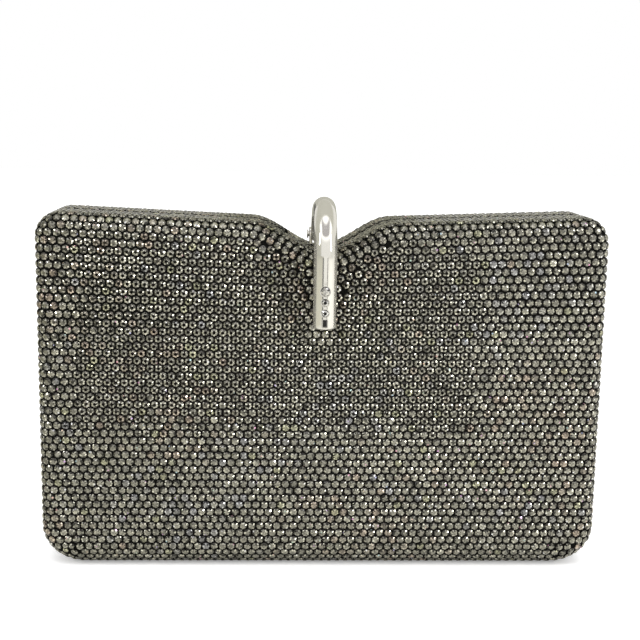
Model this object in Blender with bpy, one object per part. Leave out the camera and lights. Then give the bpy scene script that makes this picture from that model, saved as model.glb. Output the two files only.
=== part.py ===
"""A crystal-covered box clutch: two rigid halves hinged along the bottom, closed by a flip-over hook.

The front faces -Y, the width runs along X and the bottom rests on Z = 0. Units are metres.
The pieces are drawn around the parting plane and then moved so that the depth, hook included,
is centred on Y = 0.
Each half is a stack of trays that share one outline: the crystal mesh outside, the rigid shell,
a lining card and the fabric lining inside, with a polished rim where the two halves meet.
"""

import math

import bmesh
import bpy
from mathutils import Matrix, Vector

# Overall form
CLUTCH_WIDTH = 0.178
SHOULDER_HEIGHT = 0.113
CLUTCH_DEPTH = 0.036
TOP_CORNER_RADIUS = 0.0078
BOTTOM_CORNER_RADIUS = 0.0133
TOP_EDGE_DIP = 0.0032
NOTCH_DEPTH = 0.0085
NOTCH_HALF_WIDTH = 0.0228
EDGE_ROUNDING = 0.004
FOOT_ROUNDING = 0.008
INNERMOST_ROUNDING = 0.0005

# Layers of each half, from the outside in
CLEARANCE = 0.0003
CRYSTAL_MESH_THICKNESS = 0.0018
SHELL_THICKNESS = 0.0012
CARD_THICKNESS = 0.0008
LINING_THICKNESS = 0.0008
CARD_MARGIN = 0.003

# Rim frames at the parting line
PARTING_GAP = 0.0004
FRAME_THICKNESS = 0.0014
FRAME_SETBACK = 0.0008
FRAME_CHAMFER = 0.0003

# Long hinge along the bottom
HINGE_END_MARGIN = 0.014
HINGE_BARREL_RADIUS = 0.0014
HINGE_FLOOR_CLEARANCE = 0.0003
HINGE_PIN_RADIUS = 0.0006
HINGE_LEAF_REACH = 0.0094
HINGE_WEB_INNER = 0.0005
HINGE_WEB_OUTER = 0.0013
HINGE_KNUCKLES = 15
HINGE_RELIEF = 0.0001
GROOVE_HALF_WIDTH = 0.0022
RIVET_RADIUS = 0.0008
RIVET_ROW = 0.006
RIVET_LENGTH = 0.002
RIVET_COLUMN_SHARES = (-0.42, -0.14, 0.14, 0.42)

# Clasp hook: a bent round bar
HOOK_RADIUS = 0.0036
HOOK_SPAN = 0.028
HOOK_STANDOFF = 0.0016
HOOK_ARCH_RISE = 0.0169
HOOK_LEG_DROP = 0.0227
HOOK_TIP_DOME = 0.0014
HOOK_ROOT_DOME = 0.0010
HOOK_ROOT_ANGLE = math.radians(15.0)

# Clasp hinge on the rear half
EYE_RADIUS = 0.0024
EYE_HALF_WIDTH = 0.0026
EYE_SETBACK = 0.0055
EYE_WEB_HALF_HEIGHT = 0.0018
CLASP_PIN_RADIUS = 0.0008
CLASP_PIN_HEAD_RADIUS = 0.0014
CLASP_PIN_HEAD_LENGTH = 0.0005
EAR_THICKNESS = 0.0010
EAR_RADIUS = 0.0023
BRACKET_BASE_THICKNESS = 0.0015
BRACKET_BASE_FRONT = 0.0030
BRACKET_BASE_REAR = 0.0030
LEAF_SPRING_THICKNESS = 0.0003
LEAF_SPRING_HALF_WIDTH = 0.0020
LEAF_SPRING_HALF_LENGTH = 0.0024
SCREW_RADIUS = 0.0006
SCREW_HEAD_RADIUS = 0.0012
SCREW_HEAD_THICKNESS = 0.0007
SCREW_BITE = 0.0010
SCREW_HALF_SPACING = 0.0017

# Stones let into the front leg of the hook, measured up from the tip of the leg
HOOK_STONES = (
    ("hook_crystal_upper", 0.0120, 0.00145),
    ("hook_crystal_middle", 0.0086, 0.00110),
    ("hook_crystal_lower", 0.0053, 0.00110),
)
STONE_POCKET_DEPTH = 0.0009
STONE_CROWN = 0.0006
STONE_TABLE_SHARE = 0.55
BAGUETTE_HEIGHT = 0.0010
BAGUETTE_HALF_WIDTH = 0.0007
BAGUETTE_HALF_LENGTH = 0.0011
PIN_HOLE_HEIGHT = 0.0145
PIN_HOLE_RADIUS = 0.0004
BUMPER_RADIUS = 0.0016
BUMPER_HEIGHT = 0.0040

# Soft pieces inside
POCKET_SIDE_MARGIN = 0.021
POCKET_HEIGHT = 0.058
POCKET_FOOT = 0.012
POCKET_THICKNESS = 0.0008
GUSSET_CLOTH = 0.0006
GUSSET_FOOT = 0.012
GUSSET_HEAD_DROP = 0.016
GUSSET_SPARE = 0.0015
GUSSET_SPREAD = 0.0019
OPENING_ANGLE = math.radians(25.0)
HINGE_COVER_THICKNESS = 0.0006
HINGE_COVER_REACH = 0.0060
HINGE_COVER_MARGIN = 0.0030

# How finely curves are drawn
CORNER_STEPS = 5
NOTCH_STEPS = 7
STRAIGHT_STEPS = 2
BAR_SIDES = 20
ARCH_STEPS = 13
DOME_STEPS = 3
ROUND_SIDES = 16
SMALL_SIDES = 12
SMOOTH_ANGLE = math.radians(35.0)
CUT_OVERRUN = 0.002

# Places worked out from the sizes above
SHELL_INSET = CRYSTAL_MESH_THICKNESS + CLEARANCE
CARD_INSET = SHELL_INSET + SHELL_THICKNESS + CLEARANCE
LINING_INSET = CARD_INSET + CARD_THICKNESS + CLEARANCE
INTERIOR_INSET = LINING_INSET + LINING_THICKNESS
FRAME_FACE = PARTING_GAP / 2.0
FRAME_BACK = FRAME_FACE + FRAME_THICKNESS
TRAY_RIM = FRAME_BACK + CLEARANCE
HINGE_LENGTH = CLUTCH_WIDTH - 2.0 * HINGE_END_MARGIN
HINGE_Z = HINGE_FLOOR_CLEARANCE + HINGE_BARREL_RADIUS
GROOVE_TOP = INTERIOR_INSET + CLEARANCE
NOTCH_FLOOR_Z = SHOULDER_HEIGHT - TOP_EDGE_DIP - NOTCH_DEPTH
HOOK_LEG_Y = -(CLUTCH_DEPTH / 2.0 + HOOK_STANDOFF + HOOK_RADIUS)
ARCH_RADIUS = HOOK_SPAN / 2.0
ARCH_Y = HOOK_LEG_Y + ARCH_RADIUS
ARCH_Z = NOTCH_FLOOR_Z + HOOK_ARCH_RISE - ARCH_RADIUS - HOOK_RADIUS
HOOK_TIP_Z = NOTCH_FLOOR_Z - HOOK_LEG_DROP
PIVOT_Y = ARCH_Y + ARCH_RADIUS + EYE_SETBACK
BRACKET_HALF_WIDTH = EYE_HALF_WIDTH + CLEARANCE + EAR_THICKNESS
PARTING_Y = HOOK_STANDOFF / 2.0 + HOOK_RADIUS


def material(name, colour, roughness, metallic):
    """Return a Principled BSDF material."""
    made = bpy.data.materials.new(name)
    made.use_nodes = True
    shader = made.node_tree.nodes["Principled BSDF"]
    shader.inputs["Base Color"].default_value = (*colour, 1.0)
    shader.inputs["Roughness"].default_value = roughness
    shader.inputs["Metallic"].default_value = metallic
    made.diffuse_color = (*colour, 1.0)
    return made


def add_object(name, mesh_builder, finish, parent=None, smooth=True):
    """Turn a finished bmesh into a named object, with its faces pointing outwards."""
    bmesh.ops.recalc_face_normals(mesh_builder, faces=mesh_builder.faces)
    mesh = bpy.data.meshes.new(name)
    mesh_builder.to_mesh(mesh)
    mesh_builder.free()
    mesh.materials.append(finish)
    if smooth:
        mesh.shade_smooth()
        mesh.set_sharp_from_angle(angle=SMOOTH_ANGLE)
    made = bpy.data.objects.new(name, mesh)
    bpy.context.collection.objects.link(made)
    attach(made, parent)
    return made


def attach(piece, parent):
    """Parent a piece that is drawn in world places to an empty, without moving it."""
    if parent is None:
        return
    piece.parent = parent
    piece.matrix_parent_inverse = Matrix.Translation(-parent.location)


def axis_empty(name, place):
    """Return an empty that marks a hinge axis."""
    marker = bpy.data.objects.new(name, None)
    marker.location = place
    marker.empty_display_size = EYE_RADIUS
    bpy.context.collection.objects.link(marker)
    return marker


def top_edge(x):
    """Return the height and slope of the top edge at x: a straight dip with a cosine notch."""
    straight_half = CLUTCH_WIDTH / 2.0 - TOP_CORNER_RADIUS
    distance = abs(x)
    side = math.copysign(1.0, x) if x else 0.0
    height = SHOULDER_HEIGHT - TOP_EDGE_DIP * (1.0 - distance / straight_half)
    slope = side * TOP_EDGE_DIP / straight_half
    if distance < NOTCH_HALF_WIDTH:
        turn = math.pi * x / (2.0 * NOTCH_HALF_WIDTH)
        height -= NOTCH_DEPTH * math.cos(turn) ** 2
        slope += NOTCH_DEPTH * math.sin(2.0 * turn) * math.pi / (2.0 * NOTCH_HALF_WIDTH)
    return height, slope


def corner(centre_x, centre_z, radius, start_angle, roundings):
    """Return outline points of a quarter turn as (x, z, normal x, normal z, edge rounding)."""
    points = []
    for step in range(CORNER_STEPS + 1):
        share = step / CORNER_STEPS
        angle = start_angle + share * math.pi / 2.0
        normal_x, normal_z = math.cos(angle), math.sin(angle)
        blend = 0.5 - 0.5 * math.cos(share * math.pi)
        rounding = roundings[0] + (roundings[1] - roundings[0]) * blend
        points.append((centre_x + radius * normal_x, centre_z + radius * normal_z,
                       normal_x, normal_z, rounding))
    return points


def top_point(x):
    """Return one outline point on the top edge."""
    height, slope = top_edge(x)
    length = math.hypot(slope, 1.0)
    return (x, height, -slope / length, 1.0 / length, EDGE_ROUNDING)


def make_outline():
    """Return the closed front-view outline, anticlockwise from the middle of the bottom."""
    bottom_x = CLUTCH_WIDTH / 2.0 - BOTTOM_CORNER_RADIUS
    top_x = CLUTCH_WIDTH / 2.0 - TOP_CORNER_RADIUS
    right = corner(bottom_x, BOTTOM_CORNER_RADIUS, BOTTOM_CORNER_RADIUS,
                   -math.pi / 2.0, (FOOT_ROUNDING, EDGE_ROUNDING))
    right += corner(top_x, SHOULDER_HEIGHT - TOP_CORNER_RADIUS, TOP_CORNER_RADIUS,
                    0.0, (EDGE_ROUNDING, EDGE_ROUNDING))
    for step in range(1, STRAIGHT_STEPS + 1):
        right.append(top_point(top_x + (NOTCH_HALF_WIDTH - top_x) * step / STRAIGHT_STEPS))
    for step in range(1, NOTCH_STEPS):
        right.append(top_point(NOTCH_HALF_WIDTH * (1.0 - step / NOTCH_STEPS)))
    left = [(-x, z, -normal_x, normal_z, rounding)
            for x, z, normal_x, normal_z, rounding in reversed(right)]
    middle_bottom = (0.0, 0.0, 0.0, -1.0, FOOT_ROUNDING)
    return [middle_bottom] + right + [top_point(0.0)] + left


OUTLINE = make_outline()


def outline_ring(builder, inset, y, extra=None):
    """Add the outline, moved inwards by inset, as a ring of vertices at one depth."""
    ring = []
    for index, (x, z, normal_x, normal_z, _) in enumerate(OUTLINE):
        shift = inset
        depth = y
        if extra is not None:
            more_inset, depth = extra[index]
            shift = inset + more_inset
        ring.append(builder.verts.new((x - normal_x * shift, depth, z - normal_z * shift)))
    return ring


def bridge(builder, first, second):
    """Join two rings of equal length with four-sided faces."""
    count = len(first)
    for index in range(count):
        after = (index + 1) % count
        builder.faces.new((first[index], first[after], second[after], second[index]))


def half_surface(builder, side, inset, rim, steps):
    """Add one wall surface of a tray: straight from the rim, rounded over to the flat back."""
    back = CLUTCH_DEPTH / 2.0 - inset
    rings = [outline_ring(builder, inset, side * rim)]
    for step in range(steps + 1):
        turn = step / steps * math.pi / 2.0
        extra = []
        for point in OUTLINE:
            rounding = max(point[4] - inset, INNERMOST_ROUNDING)
            extra.append((rounding * (1.0 - math.cos(turn)),
                          side * (back - rounding * (1.0 - math.sin(turn)))))
        rings.append(outline_ring(builder, inset, 0.0, extra))
    for first, second in zip(rings, rings[1:]):
        bridge(builder, first, second)
    builder.faces.new(rings[-1])
    return rings[0]


def tray(name, side, inset, thickness, steps, finish, parent):
    """Make one open tray of a half; side is 1 for the rear half and -1 for the front half."""
    builder = bmesh.new()
    outer = half_surface(builder, side, inset, TRAY_RIM, steps)
    inner = half_surface(builder, side, inset + thickness, TRAY_RIM, steps)
    bridge(builder, outer, inner)
    return add_object(name, builder, finish, parent)


def rim_frame(name, side, finish, parent):
    """Make the polished rim that follows the outline at the parting line."""
    profile = (
        (FRAME_SETBACK, FRAME_FACE + FRAME_CHAMFER),
        (FRAME_SETBACK, FRAME_BACK),
        (INTERIOR_INSET, FRAME_BACK),
        (INTERIOR_INSET, FRAME_FACE),
        (FRAME_SETBACK + FRAME_CHAMFER, FRAME_FACE),
    )
    builder = bmesh.new()
    rings = [outline_ring(builder, inset, side * y) for inset, y in profile]
    for first, second in zip(rings, rings[1:] + rings[:1]):
        bridge(builder, first, second)
    return add_object(name, builder, finish, parent)


def outline_plate(name, side, inset, near, far, finish, parent):
    """Make a flat card of the outline's shape between two depths."""
    builder = bmesh.new()
    first = outline_ring(builder, inset, side * near)
    second = outline_ring(builder, inset, side * far)
    bridge(builder, first, second)
    builder.faces.new(first)
    builder.faces.new(second)
    return add_object(name, builder, finish, parent, smooth=False)


def add_box(builder, low, high):
    """Add a closed box between two corners."""
    corners = [builder.verts.new((x, y, z))
               for x in (low[0], high[0]) for y in (low[1], high[1]) for z in (low[2], high[2])]
    for indices in ((0, 1, 3, 2), (4, 6, 7, 5), (0, 4, 5, 1), (2, 3, 7, 6), (0, 2, 6, 4), (1, 5, 7, 3)):
        builder.faces.new([corners[index] for index in indices])


def box(name, low, high, finish, parent=None):
    """Make a plain box between two corners."""
    builder = bmesh.new()
    add_box(builder, low, high)
    return add_object(name, builder, finish, parent, smooth=False)


def prism(name, outline_yz, start_x, end_x, finish, parent=None):
    """Extrude a closed outline in the YZ plane from start_x to end_x."""
    builder = bmesh.new()
    first = [builder.verts.new((start_x, y, z)) for y, z in outline_yz]
    second = [builder.verts.new((end_x, y, z)) for y, z in outline_yz]
    bridge(builder, first, second)
    builder.faces.new(first)
    builder.faces.new(second)
    return add_object(name, builder, finish, parent)


def turned(name, start, direction, profile, sides, finish, parent=None):
    """Make a solid of revolution; profile lists (distance along the axis, radius)."""
    builder = bmesh.new()
    axis = Vector(direction).normalized()
    turn = axis.to_track_quat("Z", "Y")
    rings = []
    for distance, radius in profile:
        ring = []
        for index in range(sides):
            angle = 2.0 * math.pi * index / sides
            local = Vector((radius * math.cos(angle), radius * math.sin(angle), distance))
            ring.append(builder.verts.new(Vector(start) + turn @ local))
        rings.append(ring)
    for first, second in zip(rings, rings[1:]):
        bridge(builder, first, second)
    builder.faces.new(rings[0])
    builder.faces.new(rings[-1])
    return add_object(name, builder, finish, parent)


def combine(target, tool, operation):
    """Cut a tool away from a piece, or join it to the piece; the tool stays as a hidden guide."""
    modifier = target.modifiers.new(tool.name, "BOOLEAN")
    modifier.operation = operation
    modifier.solver = "EXACT"
    modifier.object = tool
    tool.hide_render = True
    tool.display_type = "WIRE"


def arc_points(centre, radius, start, end, steps):
    """Return points along an arc, by angle in radians, as pairs."""
    return [(centre[0] + radius * math.cos(start + (end - start) * step / steps),
             centre[1] + radius * math.sin(start + (end - start) * step / steps))
            for step in range(steps + 1)]


def hinge_leaf(name, side, parity, finish, parent, guide):
    """Make one leaf of the long hinge: a plate with a rolled edge cut back to its own knuckles."""
    web_start = math.acos(HINGE_WEB_OUTER / HINGE_BARREL_RADIUS)
    web_end = math.acos(HINGE_WEB_INNER / HINGE_BARREL_RADIUS) - 2.0 * math.pi
    plate_low = CARD_INSET
    plate_high = CARD_INSET + CARD_THICKNESS
    points = arc_points((0.0, HINGE_Z), HINGE_BARREL_RADIUS, web_start, web_end, SMALL_SIDES)
    points += [(HINGE_WEB_INNER, plate_high), (HINGE_LEAF_REACH, plate_high),
               (HINGE_LEAF_REACH, plate_low), (HINGE_WEB_OUTER, plate_low)]
    outline_yz = [(side * y, z) for y, z in points]
    half = HINGE_LENGTH / 2.0
    leaf = prism(name, outline_yz, -half, half, finish, parent)
    pitch = HINGE_LENGTH / HINGE_KNUCKLES
    for index in range(HINGE_KNUCKLES):
        if index % 2 == parity:
            continue
        low_x = -half + index * pitch - (CLEARANCE / 2.0 if index else CUT_OVERRUN)
        high_x = -half + (index + 1) * pitch
        high_x += CLEARANCE / 2.0 if index + 1 < HINGE_KNUCKLES else CUT_OVERRUN
        gap = box(f"{name}_gap_{index}", (low_x, -GROOVE_HALF_WIDTH, -CUT_OVERRUN),
                  (high_x, GROOVE_HALF_WIDTH, plate_low + HINGE_RELIEF), guide)
        combine(leaf, gap, "DIFFERENCE")
    bore = turned(f"{name}_bore", (-half - CUT_OVERRUN, 0.0, HINGE_Z), (1.0, 0.0, 0.0),
                  ((0.0, HINGE_PIN_RADIUS + CLEARANCE),
                   (HINGE_LENGTH + 2.0 * CUT_OVERRUN, HINGE_PIN_RADIUS + CLEARANCE)),
                  SMALL_SIDES, guide)
    combine(leaf, bore, "DIFFERENCE")
    return leaf


def hinge_rivets(prefix, side, leaf, shell, finish, parent, guide):
    """Make the rivets that hold a hinge leaf to its shell, with their holes."""
    top = CARD_INSET + CARD_THICKNESS
    for number, share in enumerate(RIVET_COLUMN_SHARES, start=1):
        place = (share * HINGE_LENGTH, side * RIVET_ROW, top - RIVET_LENGTH)
        turned(f"{prefix}_hinge_rivet_{number}", place, (0.0, 0.0, 1.0),
               ((0.0, RIVET_RADIUS), (RIVET_LENGTH, RIVET_RADIUS)), SMALL_SIDES, finish, parent)
        hole_radius = RIVET_RADIUS + CLEARANCE
        hole = turned(f"{prefix}_rivet_hole_{number}", (place[0], place[1], SHELL_INSET - CLEARANCE / 2.0),
                      (0.0, 0.0, 1.0),
                      ((0.0, hole_radius), (top - SHELL_INSET + CUT_OVERRUN, hole_radius)),
                      SMALL_SIDES, guide)
        combine(leaf, hole, "DIFFERENCE")
        combine(shell, hole, "DIFFERENCE")


def bottom_groove(guide):
    """Return the cutter that opens the bottom of both halves for the hinge barrel."""
    reach = CLUTCH_WIDTH / 2.0 + CUT_OVERRUN
    return box("bottom_groove", (-reach, -GROOVE_HALF_WIDTH, -CUT_OVERRUN),
               (reach, GROOVE_HALF_WIDTH, GROOVE_TOP), guide)


def make_half(prefix, side, finishes, parent, groove):
    """Make the trays, rim, card and hinge leaf that the front and rear halves both have."""
    crystal = tray(f"{prefix}_crystal_mesh", side, 0.0, CRYSTAL_MESH_THICKNESS, 4,
                   finishes["crystal"], parent)
    shell = tray(f"{prefix}_shell", side, SHELL_INSET, SHELL_THICKNESS, 2, finishes["shell"], parent)
    lining = tray(f"{prefix}_lining", side, LINING_INSET, LINING_THICKNESS, 1,
                  finishes["lining"], parent)
    frame = rim_frame(f"{prefix}_frame", side, finishes["chrome"], parent)
    for piece in (crystal, shell, lining, frame):
        combine(piece, groove, "DIFFERENCE")
    card_back = CLUTCH_DEPTH / 2.0 - CARD_INSET
    outline_plate(f"{prefix}_lining_card", side, LINING_INSET + CARD_MARGIN,
                  card_back - CARD_THICKNESS, card_back, finishes["card"], parent)
    parity = 0 if side > 0 else 1
    leaf = hinge_leaf(f"{prefix}_hinge_leaf", side, parity, finishes["steel"], parent, finishes["guide"])
    hinge_rivets(prefix, side, leaf, shell, finishes["brass"], parent, finishes["guide"])
    return crystal, shell


def bar_mesh(builder):
    """Add the bent bar of the hook: up the front leg, over the arch and down to its root."""
    path = []
    dome_angles = [step / DOME_STEPS * math.pi / 2.0 for step in range(DOME_STEPS + 1)]
    dome_base = HOOK_TIP_Z + HOOK_TIP_DOME
    for turn in dome_angles[1:]:
        path.append((HOOK_LEG_Y, dome_base - HOOK_TIP_DOME * math.cos(turn),
                     (1.0, 0.0), HOOK_RADIUS * math.sin(turn)))
    path.append((HOOK_LEG_Y, ARCH_Z, (1.0, 0.0), HOOK_RADIUS))
    sweep = math.pi - HOOK_ROOT_ANGLE
    for step in range(1, ARCH_STEPS + 1):
        angle = math.pi - sweep * step / ARCH_STEPS
        path.append((ARCH_Y + ARCH_RADIUS * math.cos(angle), ARCH_Z + ARCH_RADIUS * math.sin(angle),
                     (-math.cos(angle), -math.sin(angle)), HOOK_RADIUS))
    end_y, end_z, across, _ = path[-1]
    along = (math.sin(HOOK_ROOT_ANGLE), -math.cos(HOOK_ROOT_ANGLE))
    for turn in dome_angles[1:-1]:
        reach = HOOK_ROOT_DOME * math.sin(turn)
        path.append((end_y + along[0] * reach, end_z + along[1] * reach, across,
                     HOOK_RADIUS * math.cos(turn)))
    rings = []
    for y, z, across, radius in path:
        ring = []
        for index in range(BAR_SIDES):
            angle = 2.0 * math.pi * (index + 0.5) / BAR_SIDES
            offset = radius * math.cos(angle)
            ring.append(builder.verts.new((radius * math.sin(angle), y + across[0] * offset,
                                           z + across[1] * offset)))
        rings.append(ring)
    for first, second in zip(rings, rings[1:]):
        bridge(builder, first, second)
    builder.faces.new(rings[0])
    builder.faces.new(rings[-1])


def make_hook(finishes, parent, pivot_z):
    """Make the clasp hook with its eye, its stone pockets and the stones set in them."""
    guide = finishes["guide"]
    builder = bmesh.new()
    bar_mesh(builder)
    hook = add_object("clasp_hook", builder, finishes["chrome"], parent)
    eye = turned("hook_eye", (-EYE_HALF_WIDTH, PIVOT_Y, pivot_z), (1.0, 0.0, 0.0),
                 ((0.0, EYE_RADIUS), (2.0 * EYE_HALF_WIDTH, EYE_RADIUS)), ROUND_SIDES, guide)
    root_y = ARCH_Y + ARCH_RADIUS * math.cos(HOOK_ROOT_ANGLE)
    root_z = ARCH_Z + ARCH_RADIUS * math.sin(HOOK_ROOT_ANGLE)
    reach = Vector((PIVOT_Y - root_y, pivot_z - root_z))
    along = reach.normalized()
    across = Vector((-along.y, along.x)) * EYE_WEB_HALF_HEIGHT
    start = Vector((root_y, root_z))
    end = Vector((PIVOT_Y, pivot_z))
    web_outline = [tuple(point) for point in (start - across, end - across, end + across, start + across)]
    web_half = EYE_HALF_WIDTH - HINGE_RELIEF
    web = prism("hook_web", web_outline, -web_half, web_half, guide)
    combine(hook, eye, "UNION")
    combine(hook, web, "UNION")
    bore = turned("hook_bore", (-EYE_HALF_WIDTH - CUT_OVERRUN, PIVOT_Y, pivot_z), (1.0, 0.0, 0.0),
                  ((0.0, CLASP_PIN_RADIUS + CLEARANCE),
                   (2.0 * (EYE_HALF_WIDTH + CUT_OVERRUN), CLASP_PIN_RADIUS + CLEARANCE)),
                  SMALL_SIDES, guide)
    combine(hook, bore, "DIFFERENCE")
    front = HOOK_LEG_Y - HOOK_RADIUS
    for name, height, radius in HOOK_STONES:
        place = (0.0, front + STONE_POCKET_DEPTH, HOOK_TIP_Z + height)
        pocket = turned(f"{name}_pocket", place, (0.0, -1.0, 0.0),
                        ((0.0, radius + CLEARANCE), (STONE_POCKET_DEPTH + CUT_OVERRUN, radius + CLEARANCE)),
                        ROUND_SIDES, guide)
        combine(hook, pocket, "DIFFERENCE")
        seat = (0.0, place[1] - CLEARANCE, place[2])
        girdle = STONE_POCKET_DEPTH - CLEARANCE
        turned(name, seat, (0.0, -1.0, 0.0),
               ((0.0, radius), (girdle, radius), (girdle + STONE_CROWN, radius * STONE_TABLE_SHARE)),
               ROUND_SIDES, finishes["stone"], parent)
    baguette_z = HOOK_TIP_Z + BAGUETTE_HEIGHT + BAGUETTE_HALF_LENGTH
    slot = box("baguette_slot",
               (-BAGUETTE_HALF_WIDTH - CLEARANCE, front - CUT_OVERRUN,
                baguette_z - BAGUETTE_HALF_LENGTH - CLEARANCE),
               (BAGUETTE_HALF_WIDTH + CLEARANCE, front + STONE_POCKET_DEPTH,
                baguette_z + BAGUETTE_HALF_LENGTH + CLEARANCE), guide)
    combine(hook, slot, "DIFFERENCE")
    box("hook_baguette", (-BAGUETTE_HALF_WIDTH, front, baguette_z - BAGUETTE_HALF_LENGTH),
        (BAGUETTE_HALF_WIDTH, front + STONE_POCKET_DEPTH - CLEARANCE,
         baguette_z + BAGUETTE_HALF_LENGTH), finishes["stone"], parent)
    pin_hole = turned("hook_pin_hole", (0.0, front + STONE_POCKET_DEPTH, HOOK_TIP_Z + PIN_HOLE_HEIGHT),
                      (0.0, -1.0, 0.0),
                      ((0.0, PIN_HOLE_RADIUS), (STONE_POCKET_DEPTH + CUT_OVERRUN, PIN_HOLE_RADIUS)),
                      SMALL_SIDES, guide)
    combine(hook, pin_hole, "DIFFERENCE")


def make_bumper(finishes, parent):
    """Make the small bumper on the front face that the tip of the hook rests against."""
    length = HOOK_STANDOFF - 2.0 * CLEARANCE
    turned("front_bumper", (0.0, -CLUTCH_DEPTH / 2.0 - CLEARANCE, HOOK_TIP_Z + BUMPER_HEIGHT),
           (0.0, -1.0, 0.0), ((0.0, BUMPER_RADIUS), (length, BUMPER_RADIUS)),
           SMALL_SIDES, finishes["rubber"], parent)


def make_clasp_hinge(finishes, crystal, shell, base_low, pivot_z):
    """Make the bracket, pin, leaf spring and screws that carry the hook on the rear half."""
    guide = finishes["guide"]
    half = BRACKET_HALF_WIDTH
    base_top = base_low + BRACKET_BASE_THICKNESS
    front = PIVOT_Y - BRACKET_BASE_FRONT
    rear = PIVOT_Y + BRACKET_BASE_REAR
    window = box("bracket_window", (-half - CLEARANCE, front - CLEARANCE, base_low - CUT_OVERRUN),
                 (half + CLEARANCE, rear + CLEARANCE, base_top + CUT_OVERRUN), guide)
    combine(crystal, window, "DIFFERENCE")
    outline_yz = [(front, base_low), (rear, base_low), (rear, base_top)]
    outline_yz += arc_points((PIVOT_Y, pivot_z), EAR_RADIUS, 0.0, math.pi, SMALL_SIDES // 2)
    outline_yz.append((front, base_top))
    bracket = prism("clasp_bracket", outline_yz, -half, half, finishes["chrome"])
    gap_half = EYE_HALF_WIDTH + CLEARANCE
    gap = box("bracket_gap", (-gap_half, front - CUT_OVERRUN, base_top),
              (gap_half, rear + CUT_OVERRUN, pivot_z + EAR_RADIUS + CUT_OVERRUN), guide)
    combine(bracket, gap, "DIFFERENCE")
    bore = turned("bracket_bore", (-half - CUT_OVERRUN, PIVOT_Y, pivot_z), (1.0, 0.0, 0.0),
                  ((0.0, CLASP_PIN_RADIUS + CLEARANCE),
                   (2.0 * (half + CUT_OVERRUN), CLASP_PIN_RADIUS + CLEARANCE)), SMALL_SIDES, guide)
    combine(bracket, bore, "DIFFERENCE")
    head = CLASP_PIN_HEAD_LENGTH
    inner = half + CLEARANCE
    turned("clasp_pin", (-inner - head, PIVOT_Y, pivot_z), (1.0, 0.0, 0.0),
           ((0.0, CLASP_PIN_HEAD_RADIUS), (head, CLASP_PIN_HEAD_RADIUS), (head, CLASP_PIN_RADIUS),
            (head + 2.0 * inner, CLASP_PIN_RADIUS), (head + 2.0 * inner, CLASP_PIN_HEAD_RADIUS),
            (2.0 * (head + inner), CLASP_PIN_HEAD_RADIUS)), SMALL_SIDES, finishes["chrome"])
    spring_low = base_top + CLEARANCE
    box("clasp_leaf_spring",
        (-LEAF_SPRING_HALF_WIDTH, PIVOT_Y - LEAF_SPRING_HALF_LENGTH, spring_low),
        (LEAF_SPRING_HALF_WIDTH, PIVOT_Y + LEAF_SPRING_HALF_LENGTH, spring_low + LEAF_SPRING_THICKNESS),
        finishes["steel"])
    shell_under = NOTCH_FLOOR_Z - SHELL_INSET - SHELL_THICKNESS
    screw_top = base_low + SCREW_BITE
    for name, offset in (("clasp_screw_front", -SCREW_HALF_SPACING), ("clasp_screw_rear", SCREW_HALF_SPACING)):
        head_low = shell_under - CLEARANCE - SCREW_HEAD_THICKNESS
        turned(name, (0.0, PIVOT_Y + offset, head_low), (0.0, 0.0, 1.0),
               ((0.0, SCREW_HEAD_RADIUS), (SCREW_HEAD_THICKNESS, SCREW_HEAD_RADIUS),
                (SCREW_HEAD_THICKNESS, SCREW_RADIUS), (screw_top - CLEARANCE - head_low, SCREW_RADIUS)),
               SMALL_SIDES, finishes["steel"])
        hole_radius = SCREW_RADIUS + CLEARANCE
        hole = turned(f"{name}_hole", (0.0, PIVOT_Y + offset, shell_under - CUT_OVERRUN),
                      (0.0, 0.0, 1.0),
                      ((0.0, hole_radius), (screw_top - shell_under + CUT_OVERRUN, hole_radius)),
                      SMALL_SIDES, guide)
        combine(shell, hole, "DIFFERENCE")
        combine(bracket, hole, "DIFFERENCE")


def make_pocket(finishes):
    """Make the slip pocket that lies on the rear lining."""
    back = CLUTCH_DEPTH / 2.0 - INTERIOR_INSET - CLEARANCE
    half = CLUTCH_WIDTH / 2.0 - POCKET_SIDE_MARGIN
    box("rear_pocket", (-half, back - POCKET_THICKNESS, POCKET_FOOT),
        (half, back, POCKET_FOOT + POCKET_HEIGHT), finishes["lining"])


def make_gusset(name, side_x, finishes):
    """Make a side gusset: one cloth pleat, folded inwards, deep enough to let the halves open."""
    wall = CLUTCH_WIDTH / 2.0 - INTERIOR_INSET - CLEARANCE
    builder = bmesh.new()
    rings = []
    for z in (GUSSET_FOOT, SHOULDER_HEIGHT - GUSSET_HEAD_DROP):
        fold = (z - HINGE_Z) * math.sin(OPENING_ANGLE / 2.0) + GUSSET_SPARE
        outer = (wall, GUSSET_SPREAD)
        crease = (wall - fold, 0.0)
        inner = (wall, GUSSET_SPREAD - GUSSET_CLOTH)
        inner_crease = (crease[0] + 3.0 * GUSSET_CLOTH, 0.0)
        points = (outer, (crease[0], GUSSET_CLOTH / 2.0), (crease[0], -GUSSET_CLOTH / 2.0),
                  (outer[0], -outer[1]), (inner[0], -inner[1]), inner_crease, inner)
        rings.append([builder.verts.new((side_x * x, y, z)) for x, y in points])
    bridge(builder, rings[0], rings[1])
    builder.faces.new(rings[0])
    builder.faces.new(rings[1])
    add_object(name, builder, finishes["lining"], smooth=False)


def make_hinge_cover(finishes):
    """Make the lining strip that bridges the hinge inside the bag."""
    half = CLUTCH_WIDTH / 2.0 - BOTTOM_CORNER_RADIUS - HINGE_COVER_MARGIN
    low = GROOVE_TOP
    box("hinge_cover", (-half, -HINGE_COVER_REACH, low),
        (half, HINGE_COVER_REACH, low + HINGE_COVER_THICKNESS), finishes["lining"])


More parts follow.
